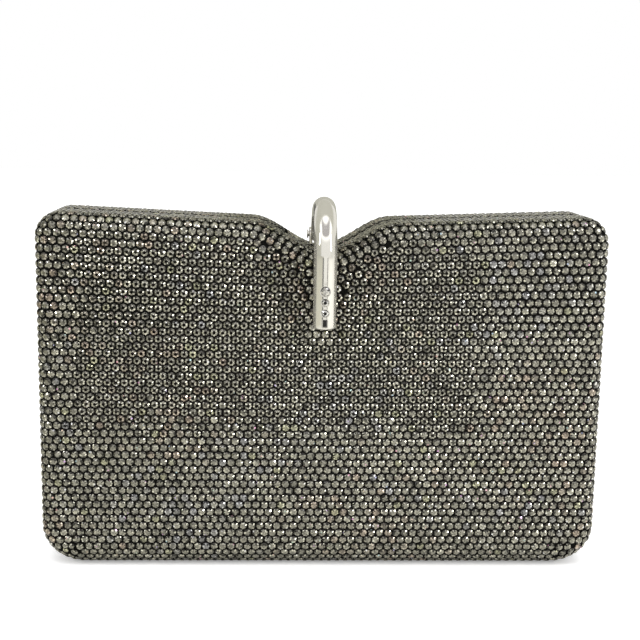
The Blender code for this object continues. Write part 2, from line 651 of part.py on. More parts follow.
def make_finishes():
    """Return the materials by name."""
    return {
        "crystal": material("hematite_crystal", (0.23, 0.23, 0.19), 0.25, 0.6),
        "shell": material("painted_alloy", (0.12, 0.12, 0.13), 0.5, 0.8),
        "lining": material("satin_lining", (0.08, 0.08, 0.085), 0.7, 0.0),
        "card": material("lining_card", (0.35, 0.3, 0.24), 0.9, 0.0),
        "chrome": material("polished_chrome", (0.8, 0.8, 0.78), 0.08, 1.0),
        "steel": material("spring_steel", (0.45, 0.46, 0.47), 0.35, 1.0),
        "brass": material("rivet_brass", (0.62, 0.5, 0.28), 0.3, 1.0),
        "stone": material("clear_stone", (0.7, 0.71, 0.72), 0.05, 0.2),
        "rubber": material("bumper_rubber", (0.05, 0.05, 0.05), 0.8, 0.0),
        "guide": material("guide", (1.0, 0.4, 0.1), 0.5, 0.0),
    }


def main():
    """Build the clutch."""
    for leftover in list(bpy.data.objects):
        bpy.data.objects.remove(leftover, do_unlink=True)
    finishes = make_finishes()
    edge_height, edge_slope = top_edge(BRACKET_HALF_WIDTH)
    base_low = edge_height - SHELL_INSET * math.hypot(1.0, edge_slope) + CLEARANCE
    pivot_z = (base_low + BRACKET_BASE_THICKNESS + CLEARANCE + LEAF_SPRING_THICKNESS
               + CLEARANCE + EYE_RADIUS)
    shell_axis = axis_empty("shell_hinge_axis", (0.0, 0.0, HINGE_Z))
    clasp_axis = axis_empty("clasp_hinge_axis", (0.0, PIVOT_Y, pivot_z))
    groove = bottom_groove(finishes["guide"])
    crystal, shell = make_half("rear", 1.0, finishes, None, groove)
    make_half("front", -1.0, finishes, shell_axis, groove)
    turned("hinge_pin", (-HINGE_LENGTH / 2.0, 0.0, HINGE_Z), (1.0, 0.0, 0.0),
           ((0.0, HINGE_PIN_RADIUS), (HINGE_LENGTH, HINGE_PIN_RADIUS)), SMALL_SIDES, finishes["steel"])
    make_clasp_hinge(finishes, crystal, shell, base_low, pivot_z)
    make_hook(finishes, clasp_axis, pivot_z)
    make_bumper(finishes, shell_axis)
    make_pocket(finishes)
    make_gusset("gusset_left", -1.0, finishes)
    make_gusset("gusset_right", 1.0, finishes)
    make_hinge_cover(finishes)
    for piece in bpy.data.objects:
        if piece.parent is None:
            piece.location.y += PARTING_Y
    print("shell axis y z", round(PARTING_Y, 6), round(HINGE_Z, 6),
          "clasp axis y z", round(PARTING_Y + PIVOT_Y, 6), round(pivot_z, 6))


main()
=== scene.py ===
"""Looks of a crystal-covered box clutch: stones set in a black net, a polished hook, satin inside.

Everything is in metres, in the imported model's frame: the front faces -Y, the width runs along X, the
bottom rests on Z = 0, and the two halves meet on the plane Y = PARTING_Y.
"""

import enum
import logging
import math
from dataclasses import dataclass, field
from typing import Sequence

import bpy
import numpy as np
from mathutils import Matrix, Vector


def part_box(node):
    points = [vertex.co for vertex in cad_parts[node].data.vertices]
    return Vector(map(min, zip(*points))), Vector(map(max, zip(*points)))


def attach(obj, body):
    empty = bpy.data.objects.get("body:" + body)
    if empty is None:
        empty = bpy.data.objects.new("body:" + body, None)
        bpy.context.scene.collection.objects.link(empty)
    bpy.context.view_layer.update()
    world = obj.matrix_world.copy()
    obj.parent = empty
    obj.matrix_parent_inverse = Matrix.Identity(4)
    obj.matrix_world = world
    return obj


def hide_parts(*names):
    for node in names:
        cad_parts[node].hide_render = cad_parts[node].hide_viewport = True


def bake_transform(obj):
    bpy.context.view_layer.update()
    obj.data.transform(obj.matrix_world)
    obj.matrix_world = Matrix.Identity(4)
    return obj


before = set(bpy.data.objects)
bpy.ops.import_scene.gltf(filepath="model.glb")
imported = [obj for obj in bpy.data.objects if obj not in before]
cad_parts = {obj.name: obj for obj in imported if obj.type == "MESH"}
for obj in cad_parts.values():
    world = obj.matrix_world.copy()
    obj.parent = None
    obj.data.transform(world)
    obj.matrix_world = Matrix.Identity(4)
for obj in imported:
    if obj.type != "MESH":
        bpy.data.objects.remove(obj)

LOG = logging.getLogger("clutch")
Array = np.ndarray
MM = 0.001
PARTING_Y = 4.4 * MM
HOOK_PIVOT = (14.7 * MM, 104.94 * MM)
GREY_TONE = (0.50, 0.495, 0.42)
WHITE = (1.0, 1.0, 1.0, 1.0)
BLACK = (0.0, 0.0, 0.0, 1.0)


class Side(enum.Enum):
    """The half that a piece belongs to."""

    FRONT = -1.0
    REAR = 1.0

    @property
    def prefix(self) -> str:
        """Return the word that the half's pieces start with."""
        return self.name.lower()

    @property
    def body(self) -> str:
        """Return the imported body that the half's pieces ride on."""
        return f"{self.prefix}_half"


class NodeBench:
    """Adds, sets and joins the nodes of one material or world."""

    def __init__(self, tree: bpy.types.NodeTree) -> None:
        """Start on a node tree.

        Args:
            tree: the tree of a material or of the world.
        """
        self.tree = tree

    def add(self, kind: str, inputs: dict[str, object] | None = None, **settings: object) -> bpy.types.Node:
        """Add one node.

        Args:
            kind: Blender's name of the node type.
            inputs: fixed values for its input sockets, by socket name.
            **settings: values for the node's own properties.

        Returns:
            The new node.
        """
        node = self.tree.nodes.new(kind)
        for name, value in settings.items():
            setattr(node, name, value)
        for name, value in (inputs or {}).items():
            node.inputs[name].default_value = value
        return node

    def join(self, source: bpy.types.NodeSocket, target: bpy.types.NodeSocket) -> None:
        """Link an output socket to an input socket."""
        self.tree.links.new(source, target)

    def sums(self, operation: str, first: object, second: object = 0.0) -> bpy.types.NodeSocket:
        """Add a Math node.

        Args:
            operation: Blender's name of the operation.
            first: a socket or a number.
            second: a socket or a number.

        Returns:
            The node's output socket.
        """
        node = self.add("ShaderNodeMath", operation=operation)
        for socket, value in zip(node.inputs, (first, second)):
            if isinstance(value, bpy.types.NodeSocket):
                self.join(value, socket)
            else:
                socket.default_value = value
        return node.outputs[0]

    def ramp(self, source: bpy.types.NodeSocket, low: float, high: float,
             start: float = 0.0, end: float = 1.0) -> bpy.types.NodeSocket:
        """Map a value smoothly from low..high to start..end, clamped at both ends.

        Args:
            source: the value's socket.
            low: the value that gives start.
            high: the value that gives end.
            start: the result at low.
            end: the result at high.

        Returns:
            The result's socket.
        """
        node = self.add("ShaderNodeMapRange", interpolation_type="SMOOTHSTEP")
        self.join(source, node.inputs["Value"])
        for name, value in (("From Min", low), ("From Max", high), ("To Min", start), ("To Max", end)):
            node.inputs[name].default_value = value
        return node.outputs["Result"]

    def blend(self, factor: bpy.types.NodeSocket, first: bpy.types.NodeSocket | Sequence[float],
              second: Sequence[float]) -> bpy.types.NodeSocket:
        """Mix two colours.

        Args:
            factor: a socket whose 0 gives the first colour and whose 1 gives the second.
            first: a socket or a fixed colour.
            second: a fixed colour.

        Returns:
            The mixed colour's socket.
        """
        node = self.add("ShaderNodeMix", data_type="RGBA")
        self.join(factor, node.inputs["Factor"])
        if isinstance(first, bpy.types.NodeSocket):
            self.join(first, node.inputs["A"])
        else:
            node.inputs["A"].default_value = (*first, 1.0)
        node.inputs["B"].default_value = (*second, 1.0)
        return node.outputs["Result"]


@dataclass(frozen=True)
class Finish:
    """A finish of the clutch, made as one node material."""

    name: str
    colour: tuple[float, float, float]
    roughness: float
    slot: str

    def material(self) -> bpy.types.Material:
        """Make the finish's material at its first use.

        Returns:
            The material.
        """
        made = bpy.data.materials.get(self.name)
        if made is None:
            made = bpy.data.materials.new(self.name)
            made.use_nodes = True
            made.diffuse_color = (*self.colour, 1.0)
            shader = made.node_tree.nodes["Principled BSDF"]
            shader.inputs["Base Color"].default_value = (*self.colour, 1.0)
            shader.inputs["Roughness"].default_value = self.roughness
            self.paint(NodeBench(made.node_tree), shader)
        return made

    def paint(self, bench: NodeBench, shader: bpy.types.Node) -> None:
        """Add the finish's own nodes.

        Args:
            bench: the material's node bench.
            shader: its Principled BSDF.
        """

    def toned(self, level: float) -> tuple[float, ...]:
        """Return the finish's colour times a level, each part at most 1."""
        return tuple(min(1.0, level * part) for part in self.colour)

    def place(self, bench: NodeBench, scale: float | Sequence[float]) -> bpy.types.NodeSocket:
        """Add scaled object coordinates.

        Args:
            bench: the material's node bench.
            scale: one factor for all axes, or one for each.

        Returns:
            The coordinates' socket.
        """
        source = bench.add("ShaderNodeTexCoord")
        mapping = bench.add("ShaderNodeMapping", {"Scale": np.broadcast_to(scale, 3).tolist()})
        bench.join(source.outputs["Object"], mapping.inputs["Vector"])
        return mapping.outputs["Vector"]

    def noise(self, bench: NodeBench, scale: float | Sequence[float],
              detail: float = 3.0) -> bpy.types.NodeSocket:
        """Add a noise.

        Args:
            bench: the material's node bench.
            scale: the grain's cycles per metre, for all axes or for each.
            detail: the number of finer layers.

        Returns:
            The noise value's socket.
        """
        node = bench.add("ShaderNodeTexNoise", {"Scale": 1.0, "Detail": detail})
        bench.join(self.place(bench, scale), node.inputs["Vector"])
        return node.outputs["Fac"]

    def bump(self, bench: NodeBench, shader: bpy.types.Node, height: bpy.types.NodeSocket,
             depth: float, strength: float = 1.0) -> None:
        """Raise the surface by a height map of the given depth in metres.

        Args:
            bench: the material's node bench.
            shader: its Principled BSDF.
            height: the height map's socket.
            depth: how far a height of 1 rises, in metres.
            strength: how much of the effect is kept.
        """
        node = bench.add("ShaderNodeBump", {"Distance": depth, "Strength": strength})
        bench.join(height, node.inputs["Height"])
        bench.join(node.outputs["Normal"], shader.inputs["Normal"])


@dataclass(frozen=True)
class StoneFinish(Finish):
    """Foil-backed faceted glass: every facet has its own colour, the stone's tone with a painted reflection,
    kept in the piece's attribute.
    """

    metallic: float = 1.0
    skin: float = 0.5

    def paint(self, bench: NodeBench, shader: bpy.types.Node) -> None:
        """Read the facets' tones with their painted reflections and lay a clear glossy skin over them.

        Args:
            bench: the material's node bench.
            shader: its Principled BSDF.
        """
        # The attribute holds each facet's tone with its painted reflection, painted shade and painted
        # glints.
        tint = bench.add("ShaderNodeAttribute", attribute_name=StoneCut.TINT)
        bench.join(tint.outputs["Color"], shader.inputs["Base Color"])
        shader.inputs["Metallic"].default_value = self.metallic
        shader.inputs["Coat Weight"].default_value = self.skin
        shader.inputs["Coat Roughness"].default_value = 0.03
        shader.inputs["Coat IOR"].default_value = 1.52
        cloud = self.noise(bench, 900.0, 1.0)
        bench.join(bench.ramp(cloud, 0.3, 0.7, self.roughness * 0.7, self.roughness * 1.5),
                   shader.inputs["Roughness"])


@dataclass(frozen=True)
class NetFinish(Finish):
    """Black knitted net under the stones: fine crossed threads with a dull sheen."""

    thread: float = 0.00035

    def paint(self, bench: NodeBench, shader: bpy.types.Node) -> None:
        """Cross two sets of thread ridges and paint shade into the holes between them.

        Args:
            bench: the material's node bench.
            shader: its Principled BSDF.
        """
        turns = 1.0 / self.thread
        ridges = []
        for upwards in (turns, -turns):
            wave = bench.add("ShaderNodeTexWave", {"Scale": 0.16, "Distortion": 1.5, "Detail": 1.0},
                             wave_type="BANDS", bands_direction="DIAGONAL")
            bench.join(self.place(bench, (turns, turns, upwards)), wave.inputs["Vector"])
            ridges.append(wave.outputs["Fac"])
        threads = bench.sums("MAXIMUM", ridges[0], ridges[1])
        # Painted shade: the holes between the threads are darker than the threads.
        bench.join(bench.blend(threads, self.toned(0.35), self.colour), shader.inputs["Base Color"])
        shader.inputs["Specular IOR Level"].default_value = 0.08
        self.bump(bench, shader, threads, 0.00012)


@dataclass(frozen=True)
class PolishedFinish(Finish):
    """Mirror-polished warm silver plating with faint hairlines and finger haze."""

    hairline: float = 0.00004
    metallic: float = 0.8

    def paint(self, bench: NodeBench, shader: bpy.types.Node) -> None:
        """Vary the gloss with long fine hairlines and broad soft haze.

        Args:
            bench: the material's node bench.
            shader: its Principled BSDF.
        """
        shader.inputs["Metallic"].default_value = self.metallic
        lines = self.noise(bench, (1.0 / self.hairline, 1.0 / self.hairline, 900.0), 2.0)
        haze = self.noise(bench, 130.0, 3.0)
        worn = bench.sums("MULTIPLY", bench.ramp(haze, 0.35, 0.75, 0.4, 1.6),
                          bench.ramp(lines, 0.45, 0.75, 0.8, 1.5))
        bench.join(bench.sums("MULTIPLY", worn, self.roughness), shader.inputs["Roughness"])
        bench.join(bench.blend(haze, self.toned(0.96), self.colour), shader.inputs["Base Color"])
        self.bump(bench, shader, haze, 0.00002, 0.25)


@dataclass(frozen=True)
class BrushedFinish(Finish):
    """Plain metal with a drawn grain along one axis and darker, duller patches from handling."""

    grain: tuple[float, float, float] = (300.0, 9000.0, 9000.0)

    def paint(self, bench: NodeBench, shader: bpy.types.Node) -> None:
        """Stretch a noise along the grain for gloss and bump, and cloud the colour.

        Args:
            bench: the material's node bench.
            shader: its Principled BSDF.
        """
        shader.inputs["Metallic"].default_value = 1.0
        streaks = self.noise(bench, self.grain, 4.0)
        cloud = self.noise(bench, 160.0, 4.0)
        bench.join(bench.ramp(streaks, 0.3, 0.7, self.roughness * 0.75, self.roughness * 1.3),
                   shader.inputs["Roughness"])
        bench.join(bench.blend(bench.ramp(cloud, 0.35, 0.7), self.toned(0.7), self.colour),
                   shader.inputs["Base Color"])
        self.bump(bench, shader, streaks, 0.00003, 0.5)


@dataclass(frozen=True)
class SatinFinish(Finish):
    """Black satin: long floats that gleam across the weave, with a soft sheen, and sheen painted into its
    colour.
    """

    float_width: float = 0.00022

    def paint(self, bench: NodeBench, shader: bpy.types.Node) -> None:
        """Lay fine weft lines for the bump and the gloss, and paint sheen into the colour where weft lines
        and clouds meet.

        Args:
            bench: the material's node bench.
            shader: its Principled BSDF.
        """
        turns = 1.0 / self.float_width
        weft = self.noise(bench, (turns * 0.12, turns, turns), 2.0)
        cloud = self.noise(bench, (90.0, 120.0, 60.0), 4.0)
        bench.join(bench.ramp(weft, 0.3, 0.7, self.roughness * 0.8, self.roughness * 1.25),
                   shader.inputs["Roughness"])
        # Painted sheen: the colour runs from 0.7 to 1.5 times the satin's where weft lines and clouds meet.
        mixed = bench.sums("MULTIPLY", bench.ramp(weft, 0.25, 0.75), bench.ramp(cloud, 0.25, 0.8, 0.4, 1.0))
        bench.join(bench.blend(mixed, self.toned(0.7), self.toned(1.5)), shader.inputs["Base Color"])
        shader.inputs["Sheen Weight"].default_value = 0.35
        shader.inputs["Sheen Roughness"].default_value = 0.35
        shader.inputs["Specular IOR Level"].default_value = 0.6
        self.bump(bench, shader, weft, 0.00005, 0.6)


@dataclass(frozen=True)
class GrainFinish(Finish):
    """A dull surface with an even grain: paint, board or rubber."""

    cycles: float = 2500.0
    contrast: float = 0.2
    depth: float = 0.00004
    metallic: float = 0.0

    def paint(self, bench: NodeBench, shader: bpy.types.Node) -> None:
        """Use one noise for colour, gloss and bump.

        Args:
            bench: the material's node bench.
            shader: its Principled BSDF.
        """
        grain = self.noise(bench, self.cycles, 5.0)
        bench.join(bench.blend(bench.ramp(grain, 0.3, 0.7), self.toned(1.0 - self.contrast),
                               self.toned(1.0 + self.contrast)), shader.inputs["Base Color"])
        bench.join(bench.ramp(grain, 0.2, 0.8, self.roughness * 0.85, min(1.0, self.roughness * 1.15)),
                   shader.inputs["Roughness"])
        shader.inputs["Metallic"].default_value = self.metallic
        self.bump(bench, shader, grain, self.depth)


@dataclass
class Shape:
    """Points and faces gathered with numpy before they become one mesh."""

    points: list[Array] = field(default_factory=list)
    faces: list[Array] = field(default_factory=list)
    count: int = 0

    def add(self, points: Array, *faces: Array) -> None:
        """Add points and the faces between them.

        Args:
            points: array (N, 3) of places.
            *faces: arrays (M, K) of point indices, one array for each number of corners K.
        """
        self.points.append(points.reshape(-1, 3))
        self.faces.extend(part + self.count for part in faces)
        self.count += len(self.points[-1])

    def tube(self, rings: Array) -> None:
        """Add rings joined into a tube with capped ends that faces outwards.

        Args:
            rings: array (R, S, 3), R rings of S points each.
        """
        count, sides = rings.shape[:2]
        quads, order = grid_faces(count, sides), np.arange(sides)[::-1]
        if signed_volume(rings.reshape(-1, 3), quads) < 0.0:
            quads, order = quads[:, ::-1], order[::-1]
        self.add(rings, quads, order[None], (order[::-1] + (count - 1) * sides)[None])

    def piece(self, name: str, body: str, finish: Finish, smooth: float = 35.0) -> bpy.types.Object:
        """Turn the gathered faces into an object that rides on a body.

        Args:
            name: the piece's name.
            body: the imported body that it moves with.
            finish: the finish of all its faces.
            smooth: edges sharper than this many degrees stay sharp, and 0 leaves every face flat.

        Returns:
            The new object.
        """
        made = self.loose(name, finish, smooth)
        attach(made, body)
        return made

    def loose(self, name: str, finish: Finish, smooth: float = 35.0) -> bpy.types.Object:
        """Turn the gathered faces into an object that rides on nothing yet.

        Args:
            name: the piece's name.
            finish: the finish of all its faces.
            smooth: edges sharper than this many degrees stay sharp, and 0 leaves every face flat.

        Returns:
            The new object.
        """
        points = np.concatenate(self.points).astype(np.float32)
        corners = np.concatenate([part.ravel() for part in self.faces]).astype(np.int32)
        sizes = np.concatenate([np.full(len(part), part.shape[1]) for part in self.faces])
        starts = np.concatenate(([0], np.cumsum(sizes)[:-1])).astype(np.int32)
        mesh = bpy.data.meshes.new(name)
        mesh.vertices.add(len(points))
        mesh.vertices.foreach_set("co", points.ravel())
        mesh.loops.add(len(corners))
        mesh.loops.foreach_set("vertex_index", corners)
        mesh.polygons.add(len(starts))
        mesh.polygons.foreach_set("loop_start", starts)
        mesh.update(calc_edges=True)
        mesh.validate()
        if smooth:
            mesh.shade_smooth()
            mesh.set_sharp_from_angle(angle=math.radians(smooth))
        else:
            mesh.shade_flat()
        mesh.materials.append(finish.material())
        made = bpy.data.objects.new(name, mesh)
        bpy.context.scene.collection.objects.link(made)
        return made


def grid_faces(rows: int, columns: int) -> Array:
    """List the cells between rows of points, each row closed on itself.

    Args:
        rows: number of rows.
        columns: number of points in a row.

    Returns:
        Array (M, 4), the corners of every cell.
    """
    low, left = np.meshgrid(np.arange(rows - 1) * columns, np.arange(columns), indexing="ij")
    high, right = low + columns, (left + 1) % columns
    return np.stack([low + left, low + right, high + right, high + left], axis=-1).reshape(-1, 4)


def signed_volume(points: Array, quads: Array) -> float:
    """Sum the tetrahedra between a set's middle and its quads, each quad cut into two triangles.

    Args:
        points: array (N, 3).
        quads: array (M, 4) of point indices.

    Returns:
        The volume inside, negative if the quads face inwards.
    """
    a, b, c, d = (points[quads[:, corner]] - points.mean(axis=0) for corner in range(4))
    return float((np.cross(a, b) * c).sum() + (np.cross(a, c) * d).sum()) / 6.0


def smoothstep(value: Array, low: float, high: float) -> Array:
    """Return 0 below low, 1 above high, and 3t^2 - 2t^3 in between.

    Args:
        value: the values.
        low: where the step starts.
        high: where it ends.

    Returns:
        The step's height at each value.
    """
    share = np.clip((value - low) / (high - low), 0.0, 1.0)
    return share * share * (3.0 - 2.0 * share)


def lathe(start: Sequence[float], direction: Sequence[float], profile: Array, sides: int) -> Array:
    """Turn a profile about an axis.

    Args:
        start: the point where the axis distance is 0.
        direction: the axis, of any length.
        profile: array (P, 2) of axis distance and radius.
        sides: number of points round the axis.

    Returns:
        Rings (P, sides, 3): start + distance * axis + radius * (cos, sin) across it.
    """
    axis = Vector(direction).normalized()
    turn = np.array(axis.to_track_quat("Z", "Y").to_matrix())
    angle = 2.0 * np.pi * np.arange(sides) / sides
    circle = np.stack([np.cos(angle), np.sin(angle), np.zeros(sides)], axis=-1)
    local = profile[:, 1, None, None] * circle[None] + profile[:, 0, None, None] * np.array([0.0, 0.0, 1.0])
    return local @ turn.T + np.array(start)


def rounded_profile(length: float, radius: float, edge: float, steps: int = 5) -> Array:
    """Draw the profile of a short cylinder whose edges are quarter circles.

    Args:
        length: its length.
        radius: its radius.
        edge: its edges' radius.
        steps: number of steps round an edge.

    Returns:
        Array (P, 2) of axis distance and radius, from one face to the other.
    """
    turn = np.linspace(0.0, np.pi / 2.0, steps + 1)
    out, radii = edge * (1.0 - np.sin(turn)), radius - edge * (1.0 - np.cos(turn))
    first, second = np.stack([out, radii], axis=-1)[::-1], np.stack([length - out, radii], axis=-1)
    return np.concatenate([first, second])


def plate(outline: Array, levels: Array, shares: Array) -> Array:
    """Stack a flat outline into a plate whose outer rings may be drawn in, to soften its edges.

    Args:
        outline: array (S, 2), the plate's outline about the origin.
        levels: the R rings' heights.
        shares: each ring's size as a share of the outline's.

    Returns:
        Array (R, S, 3), the height as the third number.
    """
    rings = outline[None] * shares[:, None, None]
    return np.concatenate([rings, np.broadcast_to(levels[:, None, None], (*rings.shape[:2], 1))], axis=-1)


@dataclass(frozen=True)
class Outline:
    """The clutch's closed front-view outline, anticlockwise from the middle of the bottom."""

    x: Array
    z: Array
    normal_x: Array
    normal_z: Array
    rounding: Array

    def part(self, keep: Array) -> "Outline":
        """Return the outline's points under a mask or an index array."""
        return Outline(self.x[keep], self.z[keep], self.normal_x[keep], self.normal_z[keep],
                       self.rounding[keep])


@dataclass(frozen=True)
class ClutchForm:
    """Sizes of the whole clutch and the surfaces that follow from them."""

    width: float = 178.0 * MM
    shoulder: float = 113.0 * MM
    depth: float = 36.0 * MM
    top_corner: float = 7.8 * MM
    bottom_corner: float = 13.3 * MM
    dip: float = 3.2 * MM
    notch_depth: float = 8.5 * MM
    notch_half: float = 22.8 * MM
    edge_rounding: float = 4.0 * MM
    foot_rounding: float = 8.0 * MM
    rim: float = 1.9 * MM
    spacing: float = 0.9 * MM

    @property
    def half_width(self) -> float:
        """Return half the width."""
        return self.width / 2.0

    @property
    def half_depth(self) -> float:
        """Return half the depth, which is the depth of one half."""
        return self.depth / 2.0

    def top_edge(self, x: Array) -> tuple[Array, Array]:
        """Return the top edge's height and slope: a straight dip to the middle, less a cosine notch.

        Args:
            x: places across the clutch.

        Returns:
            shoulder - dip * (1 - |x| / straight) - notch * cos(pi * x / (2 * half))^2, and its slope.
        """
        straight = self.half_width - self.top_corner
        height = self.shoulder - self.dip * (1.0 - np.abs(x) / straight)
        slope = np.sign(x) * self.dip / straight
        turn = np.pi * x / (2.0 * self.notch_half)
        inside = np.abs(x) < self.notch_half
        height = height - np.where(inside, self.notch_depth * np.cos(turn) ** 2, 0.0)
        steep = self.notch_depth * np.sin(2.0 * turn) * np.pi / (2.0 * self.notch_half)
        return height, slope + np.where(inside, steep, 0.0)

    def corner(self, centre: tuple[float, float], radius: float, start: float,
               roundings: tuple[float, float]) -> Array:
        """Draw a quarter turn of outline, over which the rounding changes by a half cosine wave.

        Args:
            centre: the arc's centre.
            radius: its radius.
            start: the angle that it starts at.
            roundings: the edge's rounding at its start and its end.

        Returns:
            Rows of x, z, normal x, normal z and rounding, the end left out.
        """
        steps = max(8, round(radius * np.pi / 2.0 / self.spacing))
        share = np.arange(steps) / steps
        angle = start + share * np.pi / 2.0
        mixed = 0.5 - 0.5 * np.cos(share * np.pi)
        rounding = roundings[0] + (roundings[1] - roundings[0]) * mixed
        return np.stack([centre[0] + radius * np.cos(angle), centre[1] + radius * np.sin(angle),
                         np.cos(angle), np.sin(angle), rounding])

    def straight(self, start: tuple[float, float], end: tuple[float, float],
                 normal: tuple[float, float], rounding: float) -> Array:
        """Draw a straight stretch of outline.

        Args:
            start: its start.
            end: its end.
            normal: its outward normal.
            rounding: the edge's rounding.

        Returns:
            Rows of x, z, normal x, normal z and rounding, the end left out.
        """
        steps = max(2, round(math.dist(start, end) / self.spacing))
        share = np.arange(steps) / steps
        rows = [start[0] + (end[0] - start[0]) * share, start[1] + (end[1] - start[1]) * share]
        rows += [np.full(steps, value) for value in (*normal, rounding)]
        return np.stack(rows)

    def outline(self) -> Outline:
        """Join the straights, the corner arcs and the dipped, notched top edge.

        Returns:
            The whole outline.
        """
        low, high = self.bottom_corner, self.shoulder - self.top_corner
        bottom_x, top_x = self.half_width - self.bottom_corner, self.half_width - self.top_corner
        edge, foot = self.edge_rounding, self.foot_rounding
        steps = round(2.0 * top_x / self.spacing / 2.0) * 2
        x = np.linspace(top_x, -top_x, steps + 1)[:-1]
        height, slope = self.top_edge(x)
        length = np.hypot(slope, 1.0)
        top = np.stack([x, height, -slope / length, 1.0 / length, np.full(steps, edge)])
        parts = [
            self.straight((0.0, 0.0), (bottom_x, 0.0), (0.0, -1.0), foot),
            self.corner((bottom_x, low), self.bottom_corner, -np.pi / 2.0, (foot, edge)),
            self.straight((self.half_width, low), (self.half_width, high), (1.0, 0.0), edge),
            self.corner((top_x, high), self.top_corner, 0.0, (edge, edge)),
            top,
            self.corner((-top_x, high), self.top_corner, np.pi / 2.0, (edge, edge)),
            self.straight((-self.half_width, high), (-self.half_width, low), (-1.0, 0.0), edge),
            self.corner((-bottom_x, low), self.bottom_corner, np.pi, (edge, foot)),
            self.straight((-bottom_x, 0.0), (0.0, 0.0), (0.0, -1.0), foot),
        ]
        return Outline(*np.concatenate(parts, axis=1))

    def skin(self, outline: Outline, side: Side, inset: float, along: Array) -> tuple[Array, Array]:
        """Return places and normals on a half's wall, rounded edge and face.

        The distance along runs from the rim over the wall, then round the edge's quarter circle and
        then inwards over the flat face.

        Args:
            outline: N outline points.
            side: which half.
            inset: how far the surface lies inside the clutch's outer surface.
            along: distances (R, N) or (N,) from the rim.

        Returns:
            Places and unit normals, each (..., N, 3).
        """
        back = self.half_depth - inset
        radius = np.maximum(outline.rounding - inset, 0.5 * MM)
        wall = back - radius - self.rim
        turn = np.clip((along - wall) / radius, 0.0, np.pi / 2.0)
        beyond = np.maximum(along - wall - radius * np.pi / 2.0, 0.0)
        inwards = inset + radius * (1.0 - np.cos(turn)) + beyond
        depth = self.rim + np.minimum(along, wall) + radius * np.sin(turn)
        places = np.stack([outline.x - outline.normal_x * inwards, PARTING_Y + side.value * depth,
                           outline.z - outline.normal_z * inwards], axis=-1)
        normals = np.stack([outline.normal_x * np.cos(turn), side.value * np.sin(turn),
                            outline.normal_z * np.cos(turn)], axis=-1)
        return places, normals

    def wrap_length(self, rounding: Array | float) -> Array | float:
        """Return the surface distance from the rim to where the flat face starts."""
        return self.half_depth - rounding - self.rim + rounding * np.pi / 2.0


@dataclass(frozen=True)
class Tray:
    """A thin open tray that follows the form of one half at a given inset."""

    form: ClutchForm
    side: Side
    inset: float
    thickness: float
    wall_steps: int = 6
    round_steps: int = 6
    face_steps: int = 10
    pucker: float = 0.0
    middle_height: float = 0.48
    last_share: float = 0.02
    flat_share: float = 0.86

    def surface(self, inset: float) -> Array:
        """Draw the rings of one surface, from the rim to a small ring on the face.

        On the wall and the rounded edge the rings keep their distance from the rim. On the face
        each ring is the edge of the face drawn in towards its middle by a share, and the edge's
        puckers die out by the time that the share has fallen to flat_share.

        Args:
            inset: how far the surface lies inside the clutch's outer surface.

        Returns:
            Array (R, N, 3).
        """
        outline = self.form.outline()
        radius = np.maximum(outline.rounding - inset, 0.5 * MM)
        wall = self.form.half_depth - inset - radius - self.form.rim
        shares = np.linspace(0.0, 1.0, self.wall_steps + 1)[:-1]
        turns = np.linspace(0.0, np.pi / 2.0, self.round_steps + 1)
        along = np.concatenate([shares[:, None] * wall, wall + turns[:, None] * radius])
        rings, _ = self.form.skin(outline, self.side, inset, along)
        if self.pucker:
            rings = self.puckered(rings, along)
        edge = rings[-1]
        middle = np.array([0.0, edge[:, 1].mean(), self.form.shoulder * self.middle_height])
        shares = np.linspace(1.0, self.last_share, self.face_steps + 1)[1:, None, None]
        face = middle + (edge - middle) * shares
        kept = smoothstep(shares[..., 0], self.flat_share, 1.0)
        face[..., 1] = middle[1] + (edge[:, 1] - middle[1]) * kept
        if self.pucker:
            face = self.rippled(face)
        return np.concatenate([rings, face])

    def puckered(self, rings: Array, along: Array) -> Array:
        """Push the wall in and out by two waves along the outline, strongest near the face.

        The waves run 47 and 83 times round the outline.

        Args:
            rings: array (R, N, 3), the wall's rings.
            along: their distances from the rim.

        Returns:
            The moved rings.
        """
        count = rings.shape[1]
        turn = np.arange(count) / count * 2.0 * np.pi
        wave = np.sin(47.0 * turn + 1.3) * 0.6 + np.sin(83.0 * turn) * 0.4
        grow = smoothstep(along, 2.0 * MM, 14.0 * MM)
        moved = rings.copy()
        moved[..., 1] -= self.side.value * self.pucker * (0.5 + 0.5 * wave) * grow
        return moved

    def rippled(self, face: Array) -> Array:
        """Lift the face by the product of two crossing long waves.

        Args:
            face: array (R, N, 3), the face's rings.

        Returns:
            The moved rings.
        """
        x, z = face[..., 0], face[..., 2]
        long_wave = np.sin(x * 70.0 + z * 25.0) * np.sin(z * 55.0 - x * 18.0 + 0.7)
        moved = face.copy()
        moved[..., 1] -= self.side.value * self.pucker * (0.5 + 0.5 * long_wave)
        return moved

    def shape(self) -> Shape:
        """Join the outer surface, the rim and the inner surface into one closed skin.

        Returns:
            The tray.
        """
        outer, inner = self.surface(self.inset), self.surface(self.inset + self.thickness)
        made = Shape()
        made.tube(np.concatenate([outer[::-1], inner]))
        return made

    def area(self) -> float:
        """Sum the two triangles of every cell of the outer surface.

        Returns:
            The outer surface's area.
        """
        rings = self.surface(self.inset)
        points = rings.reshape(-1, 3)
        quads = grid_faces(*rings.shape[:2])
        a, b, c, d = (points[quads[:, corner]] for corner in range(4))
        halves = np.cross(b - a, c - a), np.cross(c - a, d - a)
        return float(sum(np.linalg.norm(half, axis=1).sum() for half in halves) / 2.0)


